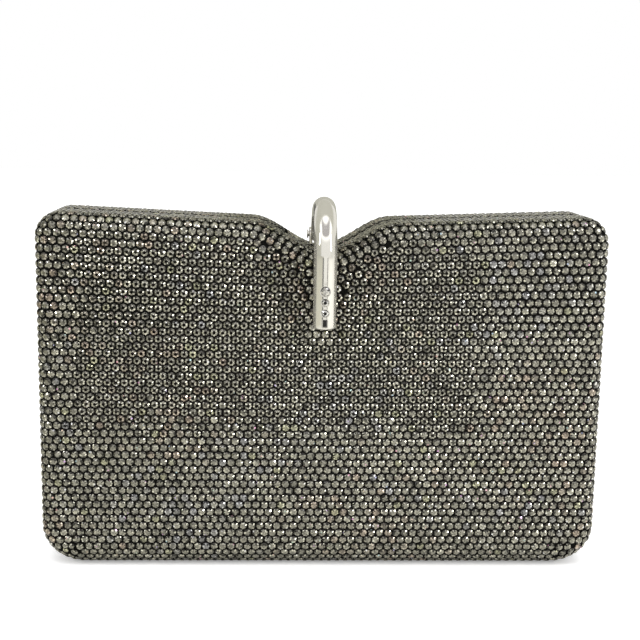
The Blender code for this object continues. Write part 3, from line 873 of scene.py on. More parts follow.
@dataclass(frozen=True)
class StoneCut:
    """A round flat-backed stone with a small table and three rows of facets."""

    # Attribute of facet colours: the stone's tone with painted reflection, painted shade and painted glints.
    TINT = "facet_tone_and_reflection"
    TABLE = slice(0, 8)
    RIM = (slice(16, 32), slice(40, 49))

    radius: float = 1.20 * MM
    height: float = 0.70 * MM
    girdle: float = 0.30 * MM
    lift: float = 0.20 * MM
    table_share: float = 0.45
    middle_share: float = 0.76
    base_share: float = 0.96
    middle_rise: float = 0.60

    def points(self) -> Array:
        """Draw the stone with its base at height 0.

        Table points stand every 45 degrees, middle points halfway between them, girdle points
        every 22.5 degrees and base points every 45 degrees.

        Returns:
            Array (41, 3): the table's middle, then the table, middle, girdle and base rings.
        """
        eight, sixteen = np.arange(8) * np.pi / 4.0, np.arange(16) * np.pi / 8.0
        middle = self.girdle + (self.height - self.girdle) * self.middle_rise
        rings = (
            (eight, self.radius * self.table_share, self.height),
            (eight + np.pi / 8.0, self.radius * self.middle_share, middle),
            (sixteen, self.radius, self.girdle),
            (eight, self.radius * self.base_share, 0.0),
        )
        parts = [np.array([[0.0, 0.0, self.height]])]
        for angle, radius, level in rings:
            ring = [radius * np.cos(angle), radius * np.sin(angle), np.full(len(angle), level)]
            parts.append(np.stack(ring, axis=-1))
        return np.concatenate(parts)

    def faces(self) -> list[Array]:
        """List the facets: table fan, stars, kites, girdle pairs, wall and back.

        Returns:
            An array of point indices for each kind's number of corners, in the tints' order.
        """
        i = np.arange(8)
        after, before = (i + 1) % 8, (i - 1) % 8
        table, middle, girdle, base = 1, 9, 17, 33
        fan = np.stack([np.zeros(8, int), table + i, table + after], axis=-1)
        star = np.stack([table + i, middle + i, table + after], axis=-1)
        kite = np.stack([table + i, middle + before, girdle + 2 * i, middle + i], axis=-1)
        odd, even = girdle + (2 * i + 1) % 16, girdle + (2 * i + 2) % 16
        low = np.stack([middle + i, girdle + 2 * i, odd], axis=-1)
        high = np.stack([middle + i, odd, even], axis=-1)
        wall = np.stack([girdle + 2 * i, base + i, base + after, even, odd], axis=-1)
        back = (base + i[::-1])[None, :]
        return [np.concatenate([fan, star, low, high]), kite, wall, back]


@dataclass(frozen=True)
class StonePalette:
    """How the facets of a net of stones are coloured: each stone's own tone, with painted reflections,
    painted shade and painted glints on its facets.

    The levels are painted reflection levels, as shares of a stone's colour. A facet's level is spread at
    random about them, a dark share of the facets is dimmed to dark_reflection_level as painted dark
    reflections, the rim facets are dimmed as painted shade, and a few facets get painted glints in colour.
    """

    base: tuple[float, float, float] = (0.335, 0.325, 0.270)
    warm: tuple[float, float, float] = (0.37, 0.31, 0.25)
    olive: tuple[float, float, float] = (0.37, 0.37, 0.24)
    cool: tuple[float, float, float] = (0.32, 0.32, 0.32)
    dark_reflection_share: float = 0.24
    dark_reflection_level: float = 0.12
    table_reflection_level: float = 0.76
    rim_shade_level: float = 0.30
    glint_share: float = 0.003
    stone_spread: float = 0.13
    facet_spread: float = 0.45
    table_spread: float = 0.20
    limits: tuple[float, float] = (0.008, 0.95)

    def stone_tints(self, places: Array, chance: np.random.Generator) -> Array:
        """Return one colour per stone: the base, leaning warm, olive or cool in loose patches.

        Args:
            places: array (N, 3) of stone places.
            chance: the seeded generator.

        Returns:
            Array (N, 3).
        """
        count = len(places)
        x, z = places[:, 0], places[:, 2]
        patch = np.sin(x * 61.0 + 1.1) * np.sin(z * 83.0 + 0.4) + 0.5 * np.sin(x * 23.0 - z * 31.0)
        lean = 0.5 * patch + chance.normal(0.0, 0.55, count)
        tints = np.tile(np.array(self.base), (count, 1))
        for colour, weight in ((self.warm, smoothstep(lean, 0.5, 1.4)),
                               (self.cool, smoothstep(-lean, 0.7, 1.6)),
                               (self.olive, 0.7 * (chance.random(count) < 0.03))):
            tints += (np.array(colour) - tints) * weight[:, None]
        return tints * chance.lognormal(0.0, self.stone_spread, count)[:, None]

    def facet_tones_and_reflections(self, stones: Array, facets: int, chance: np.random.Generator) -> Array:
        """Return one colour per facet: the stone's tone times a painted reflection level, as light bounces
        differently behind each one, with a few painted glints.

        Args:
            stones: array (N, 3) of stone colours.
            facets: number of facets on a stone.
            chance: the seeded generator.

        Returns:
            Array (N, facets, 3).
        """
        count = len(stones)
        # Painted reflection: each facet's level stands in for light bouncing behind it, with a dark share
        # dimmed and the table set apart.
        level = chance.lognormal(0.1, self.facet_spread, (count, facets))
        level *= np.where(chance.random((count, facets)) < self.dark_reflection_share, self.dark_reflection_level, 1.0)
        level[:, StoneCut.TABLE] = chance.lognormal(0.0, self.table_spread, (count, 8)) * self.table_reflection_level
        # Painted shade: the girdle and wall facets are dimmed.
        for part in StoneCut.RIM:
            level[:, part] *= self.rim_shade_level
        tints = stones[:, None, :] * level[..., None]
        # Painted glints: a few facets take a bright colour instead.
        glint = chance.random((count, facets)) < self.glint_share
        hue = chance.random((count, facets)) * 2.0 * np.pi
        glow = np.stack([0.74 + 0.2 * np.cos(hue), 0.62 + 0.16 * np.cos(hue + 2.3),
                         0.70 + 0.2 * np.cos(hue - 2.0)], axis=-1)
        return np.clip(np.where(glint[..., None], glow, tints), *self.limits)


@dataclass(frozen=True)
class StoneNet:
    """The net of stones that covers one half: straight staggered rows wrapped over the edges.

    The stones of the corners and around the notch are loose at first. The sieves say how near
    to its neighbours a loose stone may stand, as a share of the pitch, and how many rounds of
    pushing follow. The fills say how far from every stone a hole must be to get one, and the
    rounds again. Seam, near, band_gap and last_sieve are shares of the pitch too.
    """

    form: ClutchForm
    side: Side
    cut: StoneCut = StoneCut()
    palette: StonePalette = StonePalette()
    pitch: float = 2.665 * MM
    row_pitch: float = 2.308 * MM
    first_row: float = 106.0 * MM
    row_shift: float = 1.93 * MM
    sag: float = 0.0145
    tilt: float = 0.014
    rim_margin: float = 1.3 * MM
    band_rows: int = 8
    loose_rows: int = 5
    pressure: float = 1.12
    fan: tuple[float, float] = (78.0 * MM, 103.6 * MM)
    notch_spare: float = 4.0 * MM
    search: float = 7.0 * MM
    seam: float = 3.6
    sieves: tuple[tuple[float, int], ...] = ((0.66, 30), (0.80, 24), (0.86, 0))
    fills: tuple[tuple[float, int], ...] = ((0.84, 20), (0.78, 20), (0.75, 20), (0.735, 0))
    last_sieve: float = 0.72
    band_gap: float = 0.87
    near: float = 2.5
    spot_step: float = 0.45 * MM
    size_limits: tuple[float, float] = (0.78, 1.0)

    @property
    def band_pitch(self) -> float:
        """Divide the way from the rim up to the flat net's second row by the number of rim rows.

        Returns:
            The pitch of the rim rows.
        """
        form = self.form
        flat = form.shoulder - form.dip - form.edge_rounding - (self.first_row - self.row_pitch)
        return (form.wrap_length(form.edge_rounding) + flat - self.rim_margin) / self.band_rows

    def lattice(self) -> Array:
        """Draw the staggered points of the flat net, its rows sagging a little at the top.

        Point i of row k lies at x = i * pitch + shift (+ half a pitch on odd rows) and at
        z = first_row - k * row_pitch + slope * |x|. The slope is small low down and grows over the
        fan, until the uppermost rows run along the top edge's straight parts.

        Returns:
            Array (N, 2) of x and z.
        """
        reach = math.ceil((self.form.half_width + self.form.half_depth + 10.0 * MM) / self.pitch)
        columns = np.arange(-reach, reach + 1)
        rows = np.arange(-12, math.ceil(150.0 * MM / self.row_pitch))
        row, column = np.meshgrid(rows, columns, indexing="ij")
        x = column * self.pitch + self.row_shift + (row % 2) * self.pitch / 2.0
        z = self.first_row - row * self.row_pitch
        share = np.clip((z - 15.0 * MM) / (95.0 * MM), 0.0, 1.2)
        fanned = np.clip((z - self.fan[0]) / (self.fan[1] - self.fan[0]), 0.0, 1.0)
        along_edge = self.form.dip / (self.form.half_width - self.form.top_corner)
        slope = self.sag * share * (1.0 - fanned) + along_edge * fanned
        z = z + slope * np.minimum(np.abs(x), self.form.half_width - self.form.edge_rounding)
        return np.stack([-self.side.value * x.ravel(), z.ravel()], axis=-1)

    def flat_margin(self, x: Array, z: Array) -> Array:
        """Return how far points lie inside the flat face, negative outside it.

        It is the least of the distances to the sides, the foot, the top edge and the corner arcs.

        Args:
            x: the points' places across the clutch.
            z: their heights.

        Returns:
            The distances.
        """
        form = self.form
        height, slope = form.top_edge(x)
        top = (height - z) / np.hypot(slope, 1.0) - form.edge_rounding
        margin = np.minimum(form.half_width - np.abs(x) - form.edge_rounding, z - form.foot_rounding)
        margin = np.minimum(margin, top)
        for radius, level, up in ((form.top_corner, form.shoulder - form.top_corner, 1.0),
                                  (form.bottom_corner, form.bottom_corner, -1.0)):
            across, along = np.abs(x) - (form.half_width - radius), (z - level) * up
            share = np.clip(np.arctan2(along, across) / (np.pi / 2.0), 0.0, 1.0)
            rounding = form.edge_rounding
            if up < 0.0:
                mixed = 0.5 - 0.5 * np.cos(share * np.pi)
                rounding = form.edge_rounding + (form.foot_rounding - form.edge_rounding) * mixed
            arc = radius - np.hypot(across, along) - rounding
            margin = np.where((across > 0.0) & (along > 0.0), np.minimum(margin, arc), margin)
        return margin

    def straight_wraps(self, x: Array, z: Array) -> tuple[Array, Array]:
        """Carry the flat net over the straight sides and the foot.

        Over a side or the foot the net is stretched or pressed a little, so that its last stones meet
        the rim.

        Args:
            x: places of the flat net across the clutch.
            z: heights of the flat net.

        Returns:
            Places and normals of the stones beyond the flat face.
        """
        form = self.form
        high, low = form.shoulder - form.top_corner, form.bottom_corner
        edges = (
            (np.abs(x) - form.half_width + form.edge_rounding, (z > low) & (z < high),
             np.sign(x) * form.half_width, z, np.sign(x), np.zeros_like(x), form.edge_rounding,
             self.pitch / 4.0),
            (form.foot_rounding - z, np.abs(x) < form.half_width - form.bottom_corner,
             x, np.zeros_like(x), np.zeros_like(x), -np.ones_like(x), form.foot_rounding,
             self.row_pitch / 2.0),
        )
        places, normals = [], []
        for beyond, inside, edge_x, edge_z, normal_x, normal_z, rounding, spare in edges:
            reach = form.wrap_length(rounding) - self.rim_margin
            keep = inside & (beyond > 0.0) & (beyond < reach + spare)
            stretch = reach / beyond[keep].max()
            edge = Outline(edge_x[keep], edge_z[keep], normal_x[keep], normal_z[keep],
                           np.full(int(keep.sum()), rounding))
            found = form.skin(edge, self.side, 0.0, form.wrap_length(rounding) - beyond[keep] * stretch)
            places.append(found[0])
            normals.append(found[1])
        return np.concatenate(places), np.concatenate(normals)

    def outline_at(self, outline: Outline, at: Array) -> Outline:
        """Read the outline at fractional places, counted in its points and wrapping round.

        Args:
            outline: the clutch's outline.
            at: the places.

        Returns:
            The outline at those places.
        """
        count = len(outline.x)
        rows = (outline.x, outline.z, outline.normal_x, outline.normal_z, outline.rounding)
        x, z, normal_x, normal_z, rounding = (
            np.interp(at % count, np.arange(count + 1), np.append(row, row[0])) for row in rows)
        length = np.hypot(normal_x, normal_z)
        return Outline(x, z, normal_x / length, normal_z / length, rounding)

    def rim_rows(self, outline: Outline, rows: range) -> tuple[Array, Array]:
        """Set stones in rows parallel to the rim.

        On the straight parts of the top edge a row's stones stand in step with the flat net. From
        there they go on a pitch apart along the row's own line, and over the notch they are spread
        evenly.

        Args:
            outline: the clutch's outline.
            rows: the rows' numbers, 0 nearest to the rim.

        Returns:
            The stones' places along the outline and their distances from the rim.
        """
        count = len(outline.x)
        upper = np.flatnonzero((outline.normal_z > 0.5) & (outline.z > self.form.shoulder / 2.0))
        first = math.ceil((self.form.notch_half + 2.0 * MM) / self.pitch)
        places, distances = [], []
        for row in rows:
            along = self.rim_margin + row * self.band_pitch
            line, _ = self.form.skin(outline, self.side, 0.0, np.full(count, along))
            closed = np.concatenate([line, line[:1]])
            length = np.concatenate([[0.0], np.cumsum(np.linalg.norm(np.diff(closed, axis=0), axis=1))])
            step = self.row_shift + 0.5 * self.pitch * ((row + 1) % 2)
            ends = np.sort((np.array([-first, first]) * self.pitch + step) * -self.side.value)[::-1]
            found = np.interp(ends, line[upper[::-1], 0], length[upper[::-1]])
            inner = max(1, int((found[1] - found[0]) / self.pitch + 0.1))
            outer = np.arange(1, int((length[-1] - found[1] + found[0]) / 2.0 / self.pitch)) * self.pitch
            at = np.concatenate([found[0] - outer, np.linspace(*found, inner + 1), found[1] + outer])
            places.append(np.interp(at % length[-1], length, np.arange(count + 1)))
            distances.append(np.full(len(at), along))
        return np.concatenate(places), np.concatenate(distances)

    def zones(self, outline: Outline, at: Array) -> tuple[Array, Array]:
        """Tell the top edge and the corners from the rest of the outline.

        Args:
            outline: the clutch's outline.
            at: places along it.

        Returns:
            Which places lie on the top edge with its notch, and which in the four corners.
        """
        form, here = self.form, self.outline_at(outline, at)
        upper = here.z > form.shoulder / 2.0
        corner = np.abs(here.x) > np.where(upper, form.half_width - form.top_corner,
                                           form.half_width - form.bottom_corner)
        corner &= (here.z > form.shoulder - form.top_corner) | (here.z < form.bottom_corner)
        return upper & (np.abs(here.x) <= form.half_width - form.top_corner), corner

    def settle(self, outline: Outline, at: Array, along: Array, fixed: Array,
               rounds: int) -> tuple[Array, Array]:
        """Push loose stones apart until neighbours stand about a pitch from each other.

        Each round moves a stone by the sum of its overlaps with its neighbours, taken along the
        surface's two directions. A stone reaches a little further than a pitch, so that a slight
        pressure closes gaps.

        Args:
            outline: the clutch's outline.
            at: the loose stones' places along it.
            along: their distances from the rim.
            fixed: array (F, 3) of stones that stay.
            rounds: number of rounds.

        Returns:
            The settled places and distances.
        """
        step, limit, reach = 0.2, 0.1 * MM, self.pressure * self.pitch
        fixed = fixed[nearest_distance(fixed, self.on_skin(outline, at, along)) < self.near * self.pitch]
        for _ in range(rounds):
            here = self.on_skin(outline, at, along)
            others = np.concatenate([here, fixed])
            gap = here[:, None] - others[None]
            distance = np.linalg.norm(gap, axis=-1)
            np.fill_diagonal(distance, 1.0)
            push = np.clip(reach - distance, 0.0, reach) * 0.3 / np.maximum(distance, limit)
            move = (gap * push[..., None]).sum(axis=1)
            sideways = self.on_skin(outline, at + step, along) - self.on_skin(outline, at - step, along)
            inwards = self.on_skin(outline, at, along + limit) - self.on_skin(outline, at, along - limit)
            sideways, inwards = sideways / step, inwards / limit
            at = at + 2.0 * (move * sideways).sum(axis=1) / (sideways ** 2).sum(axis=1)
            along = along + 2.0 * (move * inwards).sum(axis=1) / (inwards ** 2).sum(axis=1)
            along = np.maximum(along, self.rim_margin)
        return at, along

    def on_skin(self, outline: Outline, at: Array, along: Array) -> Array:
        """Return the places of stones given by outline place and rim distance."""
        return self.form.skin(self.outline_at(outline, at), self.side, 0.0, along)[0]

    def foot(self, outline: Outline, x: Array, z: Array) -> tuple[Array, Array]:
        """Drop points of the flat face onto the outline.

        Args:
            outline: the clutch's outline.
            x: the points' places across the clutch.
            z: their heights.

        Returns:
            The nearest places along the outline, and the points' distances from the rim.
        """
        near = ((x[:, None] - outline.x) ** 2 + (z[:, None] - outline.z) ** 2).argmin(axis=1)
        here = outline.part(near)
        away_x, away_z = x - here.x, z - here.z
        inwards = -(away_x * here.normal_x + away_z * here.normal_z)
        sideways = away_z * here.normal_x - away_x * here.normal_z
        along = self.form.wrap_length(here.rounding) + inwards - here.rounding
        return near + sideways / self.form.spacing, along

    def uncrowded(self, places: Array, fixed: Array, share: float) -> Array:
        """Find the loose stones that keep their distance from the fixed and from earlier ones.

        Args:
            places: array (N, 3) of loose stones.
            fixed: array (F, 3) of stones that stay.
            share: the least distance as a share of the pitch.

        Returns:
            Which loose stones may stay.
        """
        apart = share * self.pitch
        table = np.linalg.norm(places[:, None] - places[None], axis=-1)
        earlier = np.tril(np.ones(table.shape, bool), -1)
        return (nearest_distance(places, fixed) > apart) & ~((table < apart) & earlier).any(axis=1)

    def holes(self, outline: Outline, fixed: Array, share: float) -> tuple[Array, Array]:
        """Find spots on the corners and the top edge with room for one more stone.

        They are searched on a fine grid from the rim to a little beyond the rounded edge, under the
        notch deeper, and the roomiest spots come first.

        Args:
            outline: the clutch's outline.
            fixed: array (F, 3), all the stones so far.
            share: the least distance to them as a share of the pitch.

        Returns:
            The spots' places along the outline and their distances from the rim.
        """
        reach = self.form.wrap_length(self.form.foot_rounding) + self.search
        levels = np.arange(self.rim_margin, reach + self.search, self.spot_step)
        at, along = (grid.ravel() for grid in np.meshgrid(np.arange(len(outline.x)), levels))
        top, corner = self.zones(outline, at)
        notch = top & (np.abs(outline.x[at]) < self.form.notch_half + self.notch_spare)
        inside = ((top | corner) & (along < reach)) | notch
        at, along = at[inside], along[inside]
        places = self.on_skin(outline, at, along)
        room = nearest_distance(places, fixed)
        keep = np.flatnonzero(room > share * self.pitch)
        order = keep[np.argsort(-room[keep])]
        first = order[self.uncrowded(places[order], fixed, share)]
        return at[first], along[first]

    def stones(self) -> tuple[Array, Array, Array]:
        """Place every stone: the straight rows, the rim's band, then the loose stones between them.

        The face's piece has the flat face but for its two lowest rows, so that it stays a light one.

        Returns:
            The stones' places and normals, and which belong to the face's piece.
        """
        outline = self.form.outline()
        places, normals = self.straight_rows()

        at, along = self.rim_rows(outline, range(self.band_rows))
        top, _ = self.zones(outline, at)
        band, band_normals = self.form.skin(self.outline_at(outline, at[top]), self.side, 0.0, along[top])
        room = nearest_distance(places, band)
        seam = (room < self.seam * self.pitch) & on_flat(normals)
        seam &= np.abs(places[:, 0]) < self.form.notch_half + self.notch_spare
        seam_at, seam_along = self.foot(outline, places[seam, 0], places[seam, 2])
        clear = (room > self.band_gap * self.pitch) & ~seam
        places = np.concatenate([places[clear], band])
        normals = np.concatenate([normals[clear], band_normals])

        at, along = self.rim_rows(outline, range(self.band_rows + self.loose_rows))
        top, corner = self.zones(outline, at)
        loose = corner | (top & (along > self.rim_margin + (self.band_rows - 0.5) * self.band_pitch))
        at, along = np.append(seam_at, at[loose]), np.append(seam_along, along[loose])
        for share, rounds in self.sieves:
            keep = self.uncrowded(self.on_skin(outline, at, along), places, share)
            at, along = self.settle(outline, at[keep], along[keep], places, rounds)
        for share, rounds in self.fills:
            settled = np.concatenate([places, self.on_skin(outline, at, along)])
            more = self.holes(outline, settled, share)
            at, along = np.append(at, more[0]), np.append(along, more[1])
            at, along = self.settle(outline, at, along, places, rounds)
        keep = self.uncrowded(self.on_skin(outline, at, along), places, self.last_sieve)
        extra = self.form.skin(self.outline_at(outline, at[keep]), self.side, 0.0, along[keep])
        places, normals = np.concatenate([places, extra[0]]), np.concatenate([normals, extra[1]])
        normals /= np.linalg.norm(normals, axis=1)[:, None]
        above = places[:, 2] > self.form.foot_rounding + 2.0 * self.row_pitch
        return places, normals, on_flat(normals) & above

    def straight_rows(self) -> tuple[Array, Array]:
        """Place the straight rows, on the flat face and over the edges.

        Returns:
            Their stones' places and normals.
        """
        x, z = self.lattice().T
        flat = self.flat_margin(x, z) > 0.0
        face = np.full((int(flat.sum()), 3), PARTING_Y + self.side.value * self.form.half_depth)
        face[:, 0], face[:, 2] = x[flat], z[flat]
        facing = np.tile([0.0, self.side.value, 0.0], (len(face), 1))
        places, normals = self.straight_wraps(x, z)
        return np.concatenate([face, places]), np.concatenate([facing, normals])

    def build(self, finish: Finish) -> list[bpy.types.Object]:
        """Build the half's stones as two pieces, the face's and the edges'.

        Args:
            finish: the stones' finish.

        Returns:
            The two pieces.
        """
        places, normals, on_face = self.stones()
        sizes = np.clip(room_around(places) / (2.02 * self.cut.radius), *self.size_limits)
        chance = np.random.default_rng(11 if self.side is Side.FRONT else 23)
        made = []
        for word, keep in (("face", on_face), ("edge", ~on_face)):
            made.append(set_stones(f"{self.side.prefix}_stones_{word}", self.side.body, self.cut,
                                   self.palette, places[keep], normals[keep], finish, chance, self.tilt,
                                   sizes[keep]))
            LOG.info("%s: %d stones", made[-1].name, int(keep.sum()))
        return made


def on_flat(normals: Array) -> Array:
    """Return which normals are those of the flat face or its back."""
    return np.abs(normals[:, 1]) > 0.999


def squared_table(points: Array, others: Array) -> Array:
    """Return the table (N, M) of all squared distances, p^2 + q^2 - 2 p.q."""
    return (points ** 2).sum(axis=1)[:, None] + (others ** 2).sum(axis=1)[None] - 2.0 * points @ others.T


def nearest_distance(points: Array, others: Array) -> Array:
    """Return each point's distance to the nearest of the others."""
    return np.sqrt(np.maximum(squared_table(points, others).min(axis=1), 0.0))


def room_around(points: Array) -> Array:
    """Find each point's nearest fellow.

    Args:
        points: array (N, 3).

    Returns:
        The distances.
    """
    table = squared_table(points, points)
    np.fill_diagonal(table, 1.0)
    return np.sqrt(np.maximum(table.min(axis=1), 0.0))


def set_stones(name: str, body: str, cut: StoneCut, palette: StonePalette, places: Array, normals: Array,
               finish: Finish, chance: np.random.Generator, tilt: float,
               sizes: Array | None = None) -> bpy.types.Object:
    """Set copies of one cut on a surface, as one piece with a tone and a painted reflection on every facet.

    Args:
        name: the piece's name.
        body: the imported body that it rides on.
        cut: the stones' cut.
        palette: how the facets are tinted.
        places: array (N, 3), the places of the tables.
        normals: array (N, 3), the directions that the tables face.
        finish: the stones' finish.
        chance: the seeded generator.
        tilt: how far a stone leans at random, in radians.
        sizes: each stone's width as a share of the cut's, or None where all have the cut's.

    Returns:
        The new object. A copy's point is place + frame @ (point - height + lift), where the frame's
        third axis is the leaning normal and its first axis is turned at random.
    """
    count, upright, across_x = len(places), np.array([[0.0, 0.0, 1.0]]), np.array([[1.0, 0.0, 0.0]])
    up = normals + chance.normal(0.0, tilt, (count, 3))
    up /= np.linalg.norm(up, axis=1)[:, None]
    first = np.cross(np.where(np.abs(up[:, [2]]) < 0.8, upright, across_x), up)
    first /= np.linalg.norm(first, axis=1)[:, None]
    second = np.cross(up, first)
    spin = chance.uniform(0.0, np.pi / 4.0, count)[:, None]
    frames = np.stack([np.cos(spin) * first + np.sin(spin) * second,
                       np.cos(spin) * second - np.sin(spin) * first, up], axis=-1)
    local = cut.points() - np.array([0.0, 0.0, cut.height - cut.lift])
    if sizes is not None:
        frames[:, :, :2] *= sizes[:, None, None]
    points = places[:, None, :] + np.einsum("nij,vj->nvi", frames, local)
    offset = np.arange(count)[:, None, None] * len(local)
    shape = Shape()
    faces = [(part[None] + offset).reshape(-1, part.shape[1]) for part in cut.faces()]
    shape.add(points, *faces)
    made = shape.piece(name, body, finish, smooth=0.0)
    counts = [len(part) for part in cut.faces()]
    # The facets' colours: the stones' tones with painted reflections, painted shade and painted glints.
    tints = palette.facet_tones_and_reflections(palette.stone_tints(places, chance), sum(counts), chance)
    splits = np.cumsum(counts)[:-1]
    paint_facet_tones_and_reflections(made, np.concatenate([part.reshape(-1, 3) for part in np.split(tints, splits, axis=1)]))
    return made


def paint_facet_tones_and_reflections(made: bpy.types.Object, colours: Array) -> None:
    """Keep one colour per facet, a tone with its painted reflection, where the stones' finish reads it.

    Args:
        made: the piece.
        colours: array (M, 3), its facets' colours.
    """
    opaque = np.concatenate([colours, np.ones((len(colours), 1))], axis=1).astype(np.float32)
    layer = made.data.attributes.new(StoneCut.TINT, "FLOAT_COLOR", "FACE")
    layer.data.foreach_set("color", opaque.ravel())


@dataclass(frozen=True)
class RimFrame:
    """The polished rim of one half, which stops at both ends of the hinge groove."""

    form: ClutchForm
    side: Side
    setback: float = 0.8 * MM
    inner: float = 5.5 * MM
    face: float = 0.2 * MM
    back: float = 1.6 * MM
    edge: float = 0.35 * MM
    groove_top: float = 5.8 * MM

    def profile(self) -> Array:
        """Return the rim's section: a strip whose corners are quarter circles.

        Returns:
            Array (S, 2) of insets and depths.
        """
        turn = np.linspace(0.0, np.pi / 2.0, 5)
        outer, inner = self.inner - self.edge, self.setback + self.edge
        high, low = self.back - self.edge, self.face + self.edge
        parts = []
        for quarter, (x, y) in enumerate(((outer, high), (inner, high), (inner, low), (outer, low))):
            angle = turn + quarter * np.pi / 2.0
            parts.append(np.stack([x + self.edge * np.cos(angle), y + self.edge * np.sin(angle)], axis=-1))
        return np.concatenate(parts)

    def build(self, finish: Finish) -> bpy.types.Object:
        """Carry the section along the outline, from one end of the groove up and over to the other.

        Args:
            finish: the rim's finish.

        Returns:
            The new object.
        """
        outline = self.form.outline()
        above = outline.part(outline.z - outline.normal_z * self.setback > self.groove_top)
        section = self.profile()
        inset, depth = section[:, 0], section[:, 1]
        rings = np.stack([above.x[:, None] - above.normal_x[:, None] * inset,
                          np.broadcast_to(PARTING_Y + self.side.value * depth, (len(above.x), len(depth))),
                          above.z[:, None] - above.normal_z[:, None] * inset], axis=-1)
        shape = Shape()
        shape.tube(rings)
        made = shape.piece(f"{self.side.prefix}_rim", self.side.body, finish)
        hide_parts(f"{self.side.prefix}_frame")
        return made


@dataclass(frozen=True)
class HookClasp:
    """The polished hook: a bent round bar with its eye, and the stones let into its front leg."""

    radius: float = 3.6 * MM
    leg_y: float = -18.8 * MM
    tip_z: float = 78.6 * MM
    arch_radius: float = 14.0 * MM
    arch_z: float = 100.6 * MM
    root_angle: float = math.radians(15.0)
    tip_edge: float = 1.5 * MM
    dome_edge: float = 0.8 * MM
    pocket_depth: float = 0.8 * MM
    web_half: float = 1.8 * MM
    small_hole: tuple[float, float, float] = (14.5 * MM, 0.42 * MM, 0.9 * MM)
    pivot: tuple[float, float] = HOOK_PIVOT
    eye_radius: float = 2.4 * MM
    eye_half: float = 2.6 * MM
    bore: float = 1.1 * MM
    sides: int = 96

    @property
    def front(self) -> float:
        """Return the depth of the leg's foremost line."""
        return self.leg_y - self.radius

    def rings(self) -> Array:
        """Return the bar's rings.

        The path runs up the leg and along a circular arch, and a ring is the circle across the
        path. At the leg's end the circles follow the dome, and at the root a quarter ellipse.

        Returns:
            Array (R, S, 3).
        """
        heights, widths = self.dome()
        rise = np.linspace(self.tip_z + self.tip_edge, self.arch_z, 46)[1:]
        leg_z = np.concatenate([heights, rise])
        tip = np.concatenate([widths, np.full(len(rise), self.radius)])
        leg = np.stack([np.full(len(leg_z), self.leg_y), leg_z], axis=-1)
        across = np.tile(np.array([1.0, 0.0]), (len(leg), 1))
        sweep = np.linspace(np.pi, self.root_angle, 90)[1:]
        centre = np.array([self.leg_y + self.arch_radius, self.arch_z])
        outwards = np.stack([np.cos(sweep), np.sin(sweep)], axis=-1)
        arch, arch_across = centre + self.arch_radius * outwards, -outwards
        close = np.linspace(0.0, 1.0, 7)[1:-1]
        down = np.array([math.sin(self.root_angle), -math.cos(self.root_angle)])
        root = arch[-1] + down * 1.0 * MM * np.sin(close * np.pi / 2.0)[:, None]
        path = np.concatenate([leg, arch, root])
        out = np.concatenate([across, arch_across, np.tile(arch_across[-1], (len(root), 1))])
        closing = self.radius * np.cos(close * np.pi / 2.0)
        radii = np.concatenate([tip, np.full(len(arch), self.radius), closing])
        angle = 2.0 * np.pi * np.arange(self.sides) / self.sides
        side = radii[:, None] * np.sin(angle)
        ahead = radii[:, None] * np.cos(angle)
        return np.stack([side, path[:, None, 0] + out[:, None, 0] * ahead,
                         path[:, None, 1] + out[:, None, 1] * ahead], axis=-1)

    def dome(self) -> tuple[Array, Array]:
        """Return the leg's end: a shallow dome, rise * (radius share)^2, with a rounded edge.

        Returns:
            The rings' heights and radii.
        """
        edge, inner = self.dome_edge, self.radius - self.dome_edge
        turn = np.linspace(0.0, np.pi / 2.0, 6)[1:]
        radii = np.array([0.25, 0.5, 0.72]) * inner
        rise = (self.tip_edge - edge) * 0.35
        flat, shoulder = self.tip_z + rise * (radii / self.radius) ** 2, self.tip_z + rise * 0.6
        heights = np.concatenate([flat, [shoulder], shoulder + edge * (1.0 - np.cos(turn))])
        return heights, np.concatenate([radii, [inner], inner + edge * np.sin(turn)])

    def build(self, finish: Finish, stone: Finish) -> list[bpy.types.Object]:
        """Build the bar with its eye and its cut pockets, and the stones that sit in them.

        Args:
            finish: the bar's finish.
            stone: the stones' finish.

        Returns:
            The bar and its stones.
        """
        shape = Shape()
        shape.tube(self.rings())
        bar = shape.loose("hook_bar", finish, 40.0)
        y, z = self.pivot
        axis, half = (1.0, 0.0, 0.0), self.eye_half
        eye = lathe((-half, y, z), axis, rounded_profile(2.0 * half, self.eye_radius, 0.3 * MM), 64)
        hole = lathe((-2.0 * half, y, z), axis, np.array([[0.0, self.bore], [4.0 * half, self.bore]]), 48)
        steps = [(eye, "UNION"), (self.web(), "UNION"), (hole, "DIFFERENCE")]
        steps += [(rings, "DIFFERENCE") for rings in self.pockets()]
        tools = [(self.guide(rings), operation) for rings, operation in steps]
        for tool, operation in tools:
            modifier = bar.modifiers.new("cut", "BOOLEAN")
            modifier.object, modifier.operation, modifier.solver = tool, operation, "EXACT"
        bpy.context.view_layer.update()
        solid = bpy.data.meshes.new_from_object(bar.evaluated_get(bpy.context.evaluated_depsgraph_get()))
        bar.modifiers.clear()
        bar.data = solid
        solid.set_sharp_from_angle(angle=math.radians(30.0))
        for tool, _ in tools:
            bpy.data.objects.remove(tool, do_unlink=True)
        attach(bar, "hook")
        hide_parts("clasp_hook")
        return [bar, *self.stones(stone)]

    def guide(self, rings: Array) -> bpy.types.Object:
        """Make a closed tube of rings into a cutting tool.

        Args:
            rings: array (R, S, 3).

        Returns:
            The tool.
        """
        shape = Shape()
        shape.tube(rings)
        return shape.loose("guide", POLISHED, 30.0)

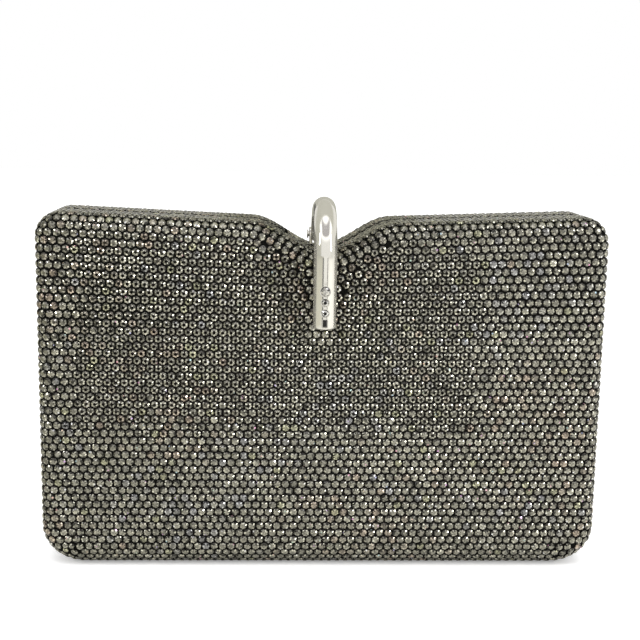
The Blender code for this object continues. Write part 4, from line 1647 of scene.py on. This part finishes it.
    def web(self) -> Array:
        """Return the flat web that joins the bar's root to the eye.

        Returns:
            Rings (4, 4, 3) along X, the outer two drawn in to soften the edges.
        """
        start = np.array([self.leg_y + self.arch_radius * (1.0 + math.cos(self.root_angle)),
                          self.arch_z + self.arch_radius * math.sin(self.root_angle)])
        end = np.array(self.pivot)
        along = (end - start) / np.linalg.norm(end - start)
        across = np.array([-along[1], along[0]]) * self.web_half
        corners = np.array([start - across, end - across, end + across, start + across])
        middle = corners.mean(axis=0)
        x = np.array([-1.0, -0.92, 0.92, 1.0]) * (self.eye_half - 0.1 * MM)
        rings = plate(corners - middle, x, np.array([0.9, 1.0, 1.0, 0.9]))
        return rings[..., [2, 0, 1]] + np.array([0.0, *middle])

    def pockets(self) -> list[Array]:
        """Return the cutters of the stone pockets and of the small hole above them.

        Returns:
            The rings of each cutter.
        """
        holes = [(height, radius + 0.25 * MM, self.pocket_depth) for _, height, radius, _ in self.settings()]
        holes.append(self.small_hole)
        found = [lathe((0.0, self.front + depth, self.tip_z + height), (0.0, -1.0, 0.0),
                       np.array([[0.0, radius], [depth + 2.0 * MM, radius]]), 40)
                 for height, radius, depth in holes]
        half, low, high = 0.9 * MM, self.tip_z + 0.85 * MM, self.tip_z + 3.5 * MM
        corners = np.array([[-half, low], [half, low], [half, high], [-half, high]])
        depths = np.array([self.front + self.pocket_depth, self.front - 2.0 * MM])
        found.append(plate(corners, depths, np.ones(2))[..., [0, 2, 1]])
        return found

    def settings(self) -> tuple[tuple[str, float, float, float], ...]:
        """List the round stones.

        Returns:
            Each one's node, height above the tip, radius and painted table reflection level.
        """
        return (("hook_crystal_upper", 12.0 * MM, 1.45 * MM, 0.85),
                ("hook_crystal_middle", 8.6 * MM, 1.10 * MM, 0.02),
                ("hook_crystal_lower", 5.3 * MM, 1.10 * MM, 0.02))

    def stones(self, finish: Finish) -> list[bpy.types.Object]:
        """Set the round stones and the oblong one in their pockets.

        Args:
            finish: the stones' finish.

        Returns:
            The stones, from the uppermost down.
        """
        chance = np.random.default_rng(5)
        made = []
        for node, height, radius, level in self.settings():
            # Painted reflection: the upper table is painted bright, the middle and lower ones dark, and the
            # rims are painted in shade.
            bright = StonePalette(base=(0.62, 0.61, 0.58), warm=(0.6, 0.58, 0.52), olive=(0.6, 0.6, 0.5),
                                  cool=(0.58, 0.6, 0.64), glint_share=0.0, table_reflection_level=level,
                                  dark_reflection_share=0.12, rim_shade_level=0.05)
            cut = StoneCut(radius=radius, height=0.85 * MM, girdle=0.45 * MM, lift=0.0, table_share=0.5,
                           middle_share=0.84)
            place = np.array([[0.0, self.front - 0.2 * MM, self.tip_z + height]])
            normal = np.array([[0.0, -1.0, 0.0]])
            made.append(set_stones(f"{node}_cut", "hook", cut, bright, place, normal, finish, chance,
                                   tilt=0.004))
            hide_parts(node)
        return [*made, self.oblong(finish)]

    def oblong(self, finish: Finish) -> bpy.types.Object:
        """Set the oblong stone, whose facets step inwards towards its table.

        Args:
            finish: the stone's finish.

        Returns:
            The new object, with painted reflection: its facets darker from the first to the last.
        """
        depth, inset = np.array([[0.5, 0.0], [0.1, 0.0], [-0.16, 0.126], [-0.32, 0.35]]).T * MM
        corners = np.array([[-0.7, -1.1], [0.7, -1.1], [0.7, 1.1], [-0.7, 1.1]]) * MM
        rings = np.empty((4, 4, 3))
        rings[..., ::2] = corners - np.sign(corners) * inset[:, None, None]
        rings[..., 1] = self.front + depth[:, None]
        rings[..., 2] += self.tip_z + 2.17 * MM
        shape = Shape()
        shape.tube(rings)
        made = shape.piece("hook_baguette_cut", "hook", finish, smooth=0.0)
        # Painted reflection: the facets are painted darker from the first to the last.
        levels = np.linspace(0.25, 0.01, len(made.data.polygons))
        paint_facet_tones_and_reflections(made, levels[:, None] * np.array([1.0, 0.99, 0.95]))
        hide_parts("hook_baguette")
        return made


@dataclass(frozen=True)
class ClaspHinge:
    """The bracket and the pin that the hook turns on, and the bumper under the hook's leg."""

    pivot: tuple[float, float] = HOOK_PIVOT
    ear_inner: float = 2.9 * MM
    ear_outer: float = 3.9 * MM
    ear_radius: float = 2.3 * MM
    base_half_depth: float = 3.0 * MM
    base_thickness: float = 1.5 * MM
    pin_radius: float = 0.8 * MM
    head_radius: float = 1.4 * MM
    head_length: float = 0.5 * MM
    bumper_radius: float = 1.6 * MM

    def ear(self, inner: float, outer: float, base_low: float) -> Array:
        """Return one ear of the bracket: a D-shaped plate with softened edges.

        Args:
            inner: the ear's inner face on X.
            outer: its outer face on X.
            base_low: the height of the base's underside.

        Returns:
            Rings (4, S, 3) along X.
        """
        y, z = self.pivot
        turn = np.linspace(0.0, np.pi, 25)
        arc = np.stack([y + self.ear_radius * np.cos(turn), z + self.ear_radius * np.sin(turn)], axis=-1)
        ahead, behind = y - self.base_half_depth, y + self.base_half_depth
        top = base_low + self.base_thickness
        foot = np.array([[ahead, top], [ahead, base_low], [behind, base_low], [behind, top]])
        middle = np.array([y, z - 1.0 * MM])
        soft = math.copysign(0.12 * MM, outer)
        x = np.array([inner, inner + soft, outer - soft, outer])
        rings = plate(np.concatenate([arc, foot]) - middle, x, np.array([0.95, 1.0, 1.0, 0.95]))
        return rings[..., [2, 0, 1]] + np.array([0.0, *middle])

    def build(self, metal: Finish, rubber: Finish) -> list[bpy.types.Object]:
        """Build the bracket, the pin and the bumper.

        Args:
            metal: the finish of the bracket and the pin.
            rubber: the bumper's finish.

        Returns:
            The three pieces.
        """
        low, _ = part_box("clasp_bracket")
        y, z = self.pivot
        bracket = Shape()
        for sign in (-1.0, 1.0):
            bracket.tube(self.ear(sign * self.ear_inner, sign * self.ear_outer, low.z))
        corners = np.array([[-1.0, -1.0], [1.0, -1.0], [1.0, 1.0], [-1.0, 1.0]])
        corners *= np.array([self.ear_inner + 0.2 * MM, self.base_half_depth])
        heights = low.z + np.array([0.0, 0.15 * MM, self.base_thickness - 0.15 * MM, self.base_thickness])
        bracket.tube(plate(corners, heights, np.array([0.96, 1.0, 1.0, 0.96])) + np.array([0.0, y, 0.0]))
        stand = bracket.piece("hook_bracket", "rear_half", metal)
        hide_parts("clasp_bracket")
        pin = Shape()
        head, reach = self.head_length, self.ear_outer + 0.3 * MM
        dome = np.array([[0.0, 0.35], [0.12, 0.8], [0.3, 0.97], [1.0, 1.0]])
        dome *= np.array([head, self.head_radius])
        shaft = np.array([[head, self.pin_radius], [head + 2.0 * reach, self.pin_radius]])
        far = np.array([[2.0 * (head + reach), 0.0]]) + dome[::-1] * np.array([-1.0, 1.0])
        pin.tube(lathe((-reach - head, y, z), (1.0, 0.0, 0.0), np.concatenate([dome, shaft, far]), 40))
        rod = pin.piece("hook_pin", "rear_half", metal)
        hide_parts("clasp_pin")
        start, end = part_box("front_bumper")
        pad = Shape()
        length = end.y - start.y
        pad.tube(lathe((0.0, end.y, (start.z + end.z) / 2.0), (0.0, -1.0, 0.0),
                       rounded_profile(length, self.bumper_radius, 0.3 * MM), 40))
        cushion = pad.piece("rubber_bumper", "front_half", rubber)
        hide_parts("front_bumper")
        return [stand, rod, cushion]


@dataclass(frozen=True)
class SatinInterior:
    """The cloth inside: two lining trays, the slip pocket, the side gussets and the hinge cover."""

    form: ClutchForm
    lining_inset: float = 4.75 * MM
    lining_thickness: float = 0.5 * MM
    pocket_half: float = 68.0 * MM
    pocket_low: float = 12.0 * MM
    pocket_high: float = 70.0 * MM
    pocket_cloth: float = 0.4 * MM
    pocket_belly: float = 0.35 * MM
    pocket_ripple: float = 0.08 * MM
    pocket_hem: float = 0.22 * MM
    gusset_foot: float = 12.0 * MM
    gusset_head: float = 97.0 * MM
    gusset_cloth: float = 0.5 * MM
    gusset_inset: float = 5.8 * MM
    gusset_slack: float = 0.8 * MM
    gusset_spread: float = 1.55 * MM
    gusset_wave: float = 0.12 * MM
    cover_half: float = 6.0 * MM
    cover_cloth: float = 0.4 * MM
    cover_hump: float = 0.5 * MM
    hinge_z: float = 1.7 * MM
    opening: float = math.radians(25.0)

    def lining(self, side: Side, finish: Finish) -> bpy.types.Object:
        """Build one lining tray, glued in and lightly puckered.

        Args:
            side: the half that it lines.
            finish: the cloth's finish.

        Returns:
            The new object.
        """
        tray = Tray(self.form, side, self.lining_inset, self.lining_thickness, wall_steps=8, round_steps=3,
                    face_steps=40, pucker=0.25 * MM)
        made = tray.shape().piece(f"{side.prefix}_satin", side.body, finish, 60.0)
        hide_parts(f"{side.prefix}_lining")
        tray.area()
        return made

    def pocket(self, finish: Finish, thread: Finish) -> list[bpy.types.Object]:
        """Build the slip pocket: a cloth that bellies out a little under a rolled top hem.

        The belly is (1 - across^4) * sin(pi * 0.62 * up), and a small ripple grows with up^2.

        Args:
            finish: the cloth's finish.
            thread: the stitches' finish.

        Returns:
            The cloth and its stitches.
        """
        _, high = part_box("rear_pocket")
        across, up = np.meshgrid(np.linspace(-1.0, 1.0, 121), np.linspace(0.0, 1.0, 61))
        belly = self.pocket_belly * (1.0 - across ** 4) * np.sin(np.pi * 0.62 * up)
        ripple = self.pocket_ripple * np.sin(across * 21.0) * up ** 2
        hem = self.pocket_hem * smoothstep(up, 0.93, 0.95) * (1.0 - smoothstep(up, 0.985, 1.0))
        face = high.y - 0.45 * MM - belly - ripple - hem
        x, z = across * self.pocket_half, self.pocket_low + up * (self.pocket_high - self.pocket_low)
        front = np.stack([x, face, z], axis=-1)
        back = np.stack([x, face + self.pocket_cloth + 0.6 * hem, z], axis=-1)
        shape = Shape()
        shape.tube(np.concatenate([front, back[:, ::-1]], axis=1))
        cloth = shape.piece("slip_pocket", "rear_half", finish, 60.0)
        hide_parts("rear_pocket")
        stitches = self.stitches(face, thread)
        return [cloth, stitches]

    def stitches(self, face: Array, thread: Finish) -> bpy.types.Object:
        """Sew the pocket down both sides and along its foot with short raised stitches.

        A stitch is a six-sided spindle: its radius is the thread's times sin(pi * share)^0.4.

        Args:
            face: array (rows, columns), the depth of the pocket's front.
            thread: the stitches' finish.

        Returns:
            The new object.
        """
        margin, step, length, thick = 2.2 * MM, 2.6 * MM, 1.7 * MM, 0.14 * MM
        half, low, high = self.pocket_half - margin, self.pocket_low + margin, self.pocket_high
        rise = np.arange(low, high - step, step)
        along = np.arange(-half + step / 2.0, half, step)
        seams = [(np.full(len(rise), end), rise + step / 2.0) for end in (-half, half)]
        seams.append((along, np.full(len(along), low)))
        middle = np.concatenate([np.stack(seam, axis=-1) for seam in seams])
        direction = np.repeat([[0.0, 1.0], [1.0, 0.0]], [2 * len(rise), len(along)], axis=0)
        rows, columns = face.shape
        column = np.rint((middle[:, 0] / self.pocket_half + 1.0) / 2.0 * (columns - 1)).astype(int)
        share = (middle[:, 1] - self.pocket_low) / (self.pocket_high - self.pocket_low)
        row = np.rint(share * (rows - 1)).astype(int)
        depth = face[np.clip(row, 0, rows - 1), np.clip(column, 0, columns - 1)]
        share, angle = np.linspace(0.06, 0.94, 5), np.arange(6) * np.pi / 3.0
        radius = thick * np.sin(np.pi * share) ** 0.4
        side = np.stack([direction[:, 1], -direction[:, 0]], axis=-1)
        reach = (share - 0.5) * length
        plane = (middle[:, None, None, :] + direction[:, None, None, :] * reach[None, :, None, None]
                 + side[:, None, None, :] * (radius[:, None] * np.cos(angle))[None, :, :, None])
        y = depth[:, None, None] - 0.3 * thick + (radius[:, None] * np.sin(angle))[None]
        rings = np.stack([plane[..., 0], y, plane[..., 1]], axis=-1)
        shape = Shape()
        for stitch in rings:
            shape.tube(stitch)
        return shape.piece("pocket_stitching", "rear_half", thread)

    def gusset(self, word: str, sign: float, finish: Finish) -> bpy.types.Object:
        """Build one side gusset: a cloth folded inwards, deep enough to let the halves open.

        For s from -1 at the one half to 1 at the other, the cloth stands fold * (1 - |s|^1.15)
        inwards of the wall and spread * |s|^0.15 beside the parting plane. The fold grows with
        the height above the hinge, and a soft wave runs down the cloth.

        Args:
            word: left or right.
            sign: -1 for the left and 1 for the right.
            finish: the cloth's finish.

        Returns:
            The new object.
        """
        wall = self.form.half_width - self.gusset_inset
        rows, columns = 60, 31
        z, s = np.meshgrid(np.linspace(self.gusset_foot, self.gusset_head, rows),
                           np.linspace(-1.0, 1.0, columns), indexing="ij")
        fold = (z - self.hinge_z) * math.sin(self.opening / 2.0) + self.gusset_slack
        spread = self.gusset_spread * (0.12 + 0.88 * np.abs(s) ** 1.3)
        wave = self.gusset_wave * np.sin(z * 260.0) * (1.0 - s ** 2)
        x = wall - fold * (1.0 - np.abs(s) ** 1.15) + wave
        y = PARTING_Y + np.sign(s) * spread * np.abs(s) ** 0.15
        places = np.stack([sign * x, y, z], axis=-1)
        made = self.doubled(places, self.gusset_cloth, f"satin_gusset_{word}", finish)
        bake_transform(made)
        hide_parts(f"gusset_{word}")
        return made

    def doubled(self, places: Array, thickness: float, name: str, finish: Finish) -> bpy.types.Object:
        """Give a grid of places a thickness along its own normals and close it all round.

        Args:
            places: array (R, C, 3), the cloth's middle.
            thickness: the cloth's thickness.
            name: the piece's name.
            finish: the cloth's finish.

        Returns:
            The new object, which rides on nothing yet.
        """
        down, across = np.gradient(places, axis=0), np.gradient(places, axis=1)
        normal = np.cross(down, across)
        normal /= np.maximum(np.linalg.norm(normal, axis=-1, keepdims=True), 1e-12)
        first, second = places + normal * thickness / 2.0, places - normal * thickness / 2.0
        shape = Shape()
        shape.tube(np.concatenate([first, second[:, ::-1]], axis=1))
        return shape.loose(name, finish, 60.0)

    def cover(self, finish: Finish) -> bpy.types.Object:
        """Build the strip over the hinge: a low hump, height * (1 - v^2).

        Args:
            finish: the cloth's finish.

        Returns:
            The new object.
        """
        low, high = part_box("hinge_cover")
        u, v = np.meshgrid(np.linspace(low.x, high.x, 140), np.linspace(-1.0, 1.0, 25), indexing="ij")
        hump = self.cover_hump * (1.0 - v ** 2) * (1.0 + 0.25 * np.sin(u * 160.0))
        places = np.stack([u, PARTING_Y + v * self.cover_half, (low.z + high.z) / 2.0 + 0.1 * MM + hump],
                          axis=-1)
        made = self.doubled(places, self.cover_cloth, "satin_hinge_cover", finish)
        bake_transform(made)
        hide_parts("hinge_cover")
        return made

    def build(self, finish: Finish, thread: Finish) -> list[bpy.types.Object]:
        """Build all the cloth.

        Args:
            finish: the cloth's finish.
            thread: the stitches' finish.

        Returns:
            The linings, the pocket with its stitches, the gussets and the hinge cover.
        """
        made = [self.lining(side, finish) for side in Side]
        made += self.pocket(finish, thread)
        made += [self.gusset("left", -1.0, finish), self.gusset("right", 1.0, finish)]
        return [*made, self.cover(finish)]


@dataclass(frozen=True)
class Studio:
    """The photograph's set: a pale floor, a white surround, soft lamps, four cards and the camera."""

    azimuth: float = math.radians(-2.6)
    elevation: float = math.radians(11.64)
    roll: float = math.radians(0.916)
    distance: float = 434.8 * MM
    target: tuple[float, float, float] = (0.0, PARTING_Y, 55.0 * MM)
    focal_pixels: float = 1323.5
    centre_pixels: tuple[float, float] = (320.0, 389.0)
    image: float = 640.0
    floor_reach: float = 3.0
    floor_drop: float = 0.24 * MM

    def camera(self) -> None:
        """Place the camera from the fitted angles, with the shift that the photograph's crop needs."""
        sine, cosine = math.sin(self.azimuth), math.cos(self.azimuth)
        flat = math.cos(self.elevation)
        ahead = np.array([-sine * flat, cosine * flat, -math.sin(self.elevation)])
        level = np.array([cosine, sine, 0.0])
        up = np.cross(level, ahead)
        right = math.cos(self.roll) * level + math.sin(self.roll) * up
        above = math.cos(self.roll) * up - math.sin(self.roll) * level
        data = bpy.data.cameras.new("camera")
        data.sensor_width = 36.0
        data.lens = self.focal_pixels / self.image * data.sensor_width
        data.shift_x = (self.image / 2.0 - self.centre_pixels[0]) / self.image
        data.shift_y = (self.centre_pixels[1] - self.image / 2.0) / self.image
        data.clip_start = 0.01
        made = bpy.data.objects.new("camera", data)
        turn = np.eye(4)
        turn[:3] = np.column_stack([right, above, -ahead, np.array(self.target) - ahead * self.distance])
        made.matrix_world = Matrix(turn.tolist())
        bpy.context.scene.collection.objects.link(made)
        bpy.context.scene.camera = made

    def floor(self) -> None:
        """Lay a wide pale floor that keeps the clutch's shadow, just under the stones' tips."""
        reach = self.floor_reach
        corners = np.array([[-reach, -reach, 0.0], [reach, -reach, 0.0], [reach, reach, 0.0],
                            [-reach, reach, 0.0]])
        shape = Shape()
        shape.add(corners - np.array([0.0, 0.0, self.floor_drop]), np.array([[0, 1, 2, 3]]))
        made = shape.loose("floor", FLOOR, 0.0)

    def card(self, name: str, finish: Finish, low: Sequence[float], high: Sequence[float]) -> None:
        """Stand an upright card beside the clutch, which only gloss sees.

        Args:
            name: the card's name.
            finish: its finish.
            low: its lowest corner in millimetres.
            high: the corner opposite, higher up, in millimetres.
        """
        corners = np.array([[low[0], low[1], low[2]], [high[0], high[1], low[2]],
                            [high[0], high[1], high[2]], [low[0], low[1], high[2]]]) * MM
        shape = Shape()
        shape.add(corners, np.array([[0, 1, 2, 3]]))
        made = shape.loose(name, finish, 0.0)
        made.visible_camera = made.visible_diffuse = made.visible_shadow = False
        made.visible_transmission = made.visible_volume_scatter = False

    def world(self) -> None:
        """Make the surround white to the camera and to diffuse light, and uneven to gloss.

        Gloss sees a soft run from grey at the left to white at the right, and over it five zones,
        each blended in by the product of its ramps.
        """
        world = bpy.data.worlds.new("surround")
        bpy.context.scene.world = world
        world.use_nodes = True
        world.node_tree.nodes.clear()
        bench = NodeBench(world.node_tree)
        source = bench.add("ShaderNodeTexCoord")
        split = bench.add("ShaderNodeSeparateXYZ")
        bench.join(source.outputs["Generated"], split.inputs["Vector"])
        across, ahead, up = (split.outputs[axis] for axis in "XYZ")
        near = bench.sums("ABSOLUTE", across)
        front = ((ahead, 0.05, -0.2), (near, 0.85, 0.6))
        high = ((near, 0.85, 0.7), (up, 0.42, 0.60), (ahead, 0.05, -0.12))
        dark = ((near, 0.62, 0.48), (up, 0.57, 0.66), (up, 0.95, 0.88), *front)
        crown = ((ahead, -0.12, 0.05), (up, 0.42, 0.60))
        behind = ((ahead, 0.45, 0.85), (up, 0.60, 0.40))
        colour = bench.blend(bench.ramp(across, -0.55, 0.25), GREY_TONE, (0.86, 0.85, 0.80))
        for ramps, tint in ((front, (0.98, 0.97, 0.95)), (high, (1.7, 1.7, 1.7)), (dark, (0.40, 0.38, 0.40)),
                            (crown, GREY_TONE), (behind, (0.95, 0.94, 0.91))):
            share = bench.ramp(*ramps[0])
            for more in ramps[1:]:
                share = bench.sums("MULTIPLY", share, bench.ramp(*more))
            colour = bench.blend(share, colour, tint)
        soft = bench.add("ShaderNodeBackground", {"Strength": 0.9})
        bench.join(colour, soft.inputs["Color"])
        white = bench.add("ShaderNodeBackground", {"Color": WHITE, "Strength": 1.0})
        path = bench.add("ShaderNodeLightPath")
        mixed = bench.add("ShaderNodeMixShader")
        bench.join(path.outputs["Is Glossy Ray"], mixed.inputs["Fac"])
        bench.join(white.outputs[0], mixed.inputs[1])
        bench.join(soft.outputs[0], mixed.inputs[2])
        output = bench.add("ShaderNodeOutputWorld")
        bench.join(mixed.outputs[0], output.inputs["Surface"])

    def lamp(self, name: str, place: Sequence[float], size: tuple[float, float], power: float,
             sharp: bool = True) -> None:
        """Hang one soft rectangular lamp that faces the middle of the clutch.

        Args:
            name: the lamp's name.
            place: where it hangs, in metres.
            size: its width and height in metres.
            power: its power in watts.
            sharp: whether gloss shows the lamp itself.
        """
        data = bpy.data.lights.new(name, "AREA")
        data.shape, data.size, data.size_y, data.energy = "RECTANGLE", *size, power
        made = bpy.data.objects.new(name, data)
        made.location = place
        made.rotation_euler = (Vector(self.target) - Vector(place)).to_track_quat("-Z", "Y").to_euler()
        made.visible_glossy = sharp
        bpy.context.scene.collection.objects.link(made)

    def build(self) -> None:
        """Build the set."""
        bpy.context.scene.view_settings.view_transform = "Standard"
        self.camera()
        self.floor()
        self.card("dark_card", CARD, (-106.0, -205.0, 0.0), (82.0, -205.0, 88.0))
        self.card("root_card", CARD, (-11.0, 2.0, 104.0), (-11.0, 24.0, 121.0))
        self.card("hook_card", GLOW, (-4.2, -34.0, 70.0), (4.2, -34.0, 101.0))
        self.card("arch_card", GREY, (-34.0, 42.0, 103.0), (34.0, 42.0, 150.0))
        self.world()
        self.lamp("lamp_over", (0.05, -0.30, 0.95), (1.0, 0.7), 4.4, sharp=False)
        self.lamp("lamp_right", (0.75, -0.55, 0.45), (0.12, 0.5), 1.6)
        self.lamp("lamp_left", (-0.8, -0.35, 0.5), (0.1, 0.35), 0.9)


@dataclass(frozen=True)
class FloorFinish(Finish):
    """Pale matt paper: pure white to the camera where no shadow falls."""

    glow: float = 0.30
    shade: tuple[float, float, float] = (0.46, 0.45, 0.37)

    def paint(self, bench: NodeBench, shader: bpy.types.Node) -> None:
        """Show a slightly lighter paper to the camera than to other light, with a little glow of its own; to
        other light the paper carries painted shade, darker towards -X.

        Args:
            bench: the material's node bench.
            shader: its Principled BSDF.
        """
        path = bench.add("ShaderNodeLightPath")
        grain = self.noise(bench, 700.0, 4.0)
        split = bench.add("ShaderNodeSeparateXYZ")
        bench.join(self.place(bench, 1.0), split.inputs["Vector"])
        # Painted shade: to all but camera rays the paper runs from its colour to the shade colour towards
        # -X.
        paper_with_painted_shade = bench.blend(bench.ramp(split.outputs["X"], -0.45, 0.1), self.shade, self.colour)
        bench.join(bench.blend(path.outputs["Is Camera Ray"], paper_with_painted_shade, (0.97, 0.97, 0.97)),
                   shader.inputs["Base Color"])
        bench.join(bench.sums("MULTIPLY", path.outputs["Is Camera Ray"], self.glow),
                   shader.inputs["Emission Strength"])
        shader.inputs["Emission Color"].default_value = WHITE
        shader.inputs["Specular IOR Level"].default_value = 0.0
        self.bump(bench, shader, grain, 0.00002, 0.2)


@dataclass(frozen=True)
class GlowFinish(Finish):
    """A lit card."""

    strength: float = 0.95

    def paint(self, bench: NodeBench, shader: bpy.types.Node) -> None:
        """Let the card glow evenly over a black base.

        Args:
            bench: the material's node bench.
            shader: its Principled BSDF.
        """
        shader.inputs["Base Color"].default_value = BLACK
        shader.inputs["Emission Color"].default_value = (*self.colour, 1.0)
        shader.inputs["Emission Strength"].default_value = self.strength


STONES = StoneFinish("hematite_stones", (0.33, 0.32, 0.27), 0.07, "hematite_crystal")
CLEAR = StoneFinish("clear_stones", (0.62, 0.61, 0.58), 0.04, "clear_stone", metallic=0.9)
NET = NetFinish("black_net", (0.006, 0.006, 0.005), 0.85, "hematite_crystal")
POLISHED = PolishedFinish("polished_silver", (0.83, 0.81, 0.75), 0.12, "polished_chrome")
STEEL = BrushedFinish("drawn_steel", (0.45, 0.46, 0.47), 0.32, "spring_steel")
BRASS = BrushedFinish("rivet_brass", (0.62, 0.50, 0.28), 0.28, "rivet_brass",
                      grain=(4000.0, 4000.0, 4000.0))
SATIN = SatinFinish("black_satin", (0.055, 0.055, 0.06), 0.42, "satin_lining")
THREAD = SatinFinish("black_thread", (0.035, 0.035, 0.038), 0.6, "satin_lining", float_width=0.0001)
PAINT = GrainFinish("matt_paint", (0.12, 0.12, 0.13), 0.55, "painted_alloy", metallic=0.3)
BOARD = GrainFinish("stiff_board", (0.35, 0.30, 0.24), 0.92, "lining_card", cycles=1200.0, contrast=0.3)
RUBBER = GrainFinish("bumper_rubber", (0.045, 0.045, 0.045), 0.75, "bumper_rubber", cycles=6000.0)
FLOOR = FloorFinish("pale_paper", (0.80, 0.79, 0.75), 0.9, "satin_lining")
GLOW = GlowFinish("white_card", (1.0, 0.99, 0.96), 1.0, "satin_lining")
GREY = GlowFinish("grey_card", GREY_TONE, 1.0, "satin_lining", strength=0.85)
CARD = GrainFinish("dark_card", (0.012, 0.012, 0.012), 1.0, "satin_lining")


def dress_nodes() -> None:
    """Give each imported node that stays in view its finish."""
    finishes = {
        "shell": PAINT, "lining_card": BOARD, "hinge_leaf": STEEL, "hinge_pin": STEEL, "hinge_rivet": BRASS,
        "leaf_spring": STEEL, "clasp_screw": STEEL,
    }
    for name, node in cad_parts.items():
        for word, finish in finishes.items():
            if word in name and not node.hide_render:
                node.data.materials.clear()
                node.data.materials.append(finish.material())
                LOG.info("%s: %s", name, finish.name)


def main() -> None:
    """Build the clutch's looks, sub-assembly by sub-assembly."""
    logging.basicConfig(level=logging.INFO, format="%(name)s: %(message)s")
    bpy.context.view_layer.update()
    form = ClutchForm()
    for side in Side:
        skin = Tray(form, side, 0.46 * MM, 1.32 * MM, wall_steps=3, round_steps=8, face_steps=1).shape()
        net = skin.piece(f"{side.prefix}_net", side.body, NET)
        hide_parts(f"{side.prefix}_crystal_mesh")
        LOG.info("%s: %d faces", net.name, len(net.data.polygons))
        StoneNet(form, side).build(STONES)
        rim = RimFrame(form, side).build(POLISHED)
        LOG.info("%s: %d faces", rim.name, len(rim.data.polygons))
    for group in (HookClasp().build(POLISHED, CLEAR), ClaspHinge().build(POLISHED, RUBBER),
                  SatinInterior(form).build(SATIN, THREAD)):
        for made in group:
            LOG.info("%s: %d faces", made.name, len(made.data.polygons))
    dress_nodes()
    Studio().build()


if __name__ == "__main__":
    main()
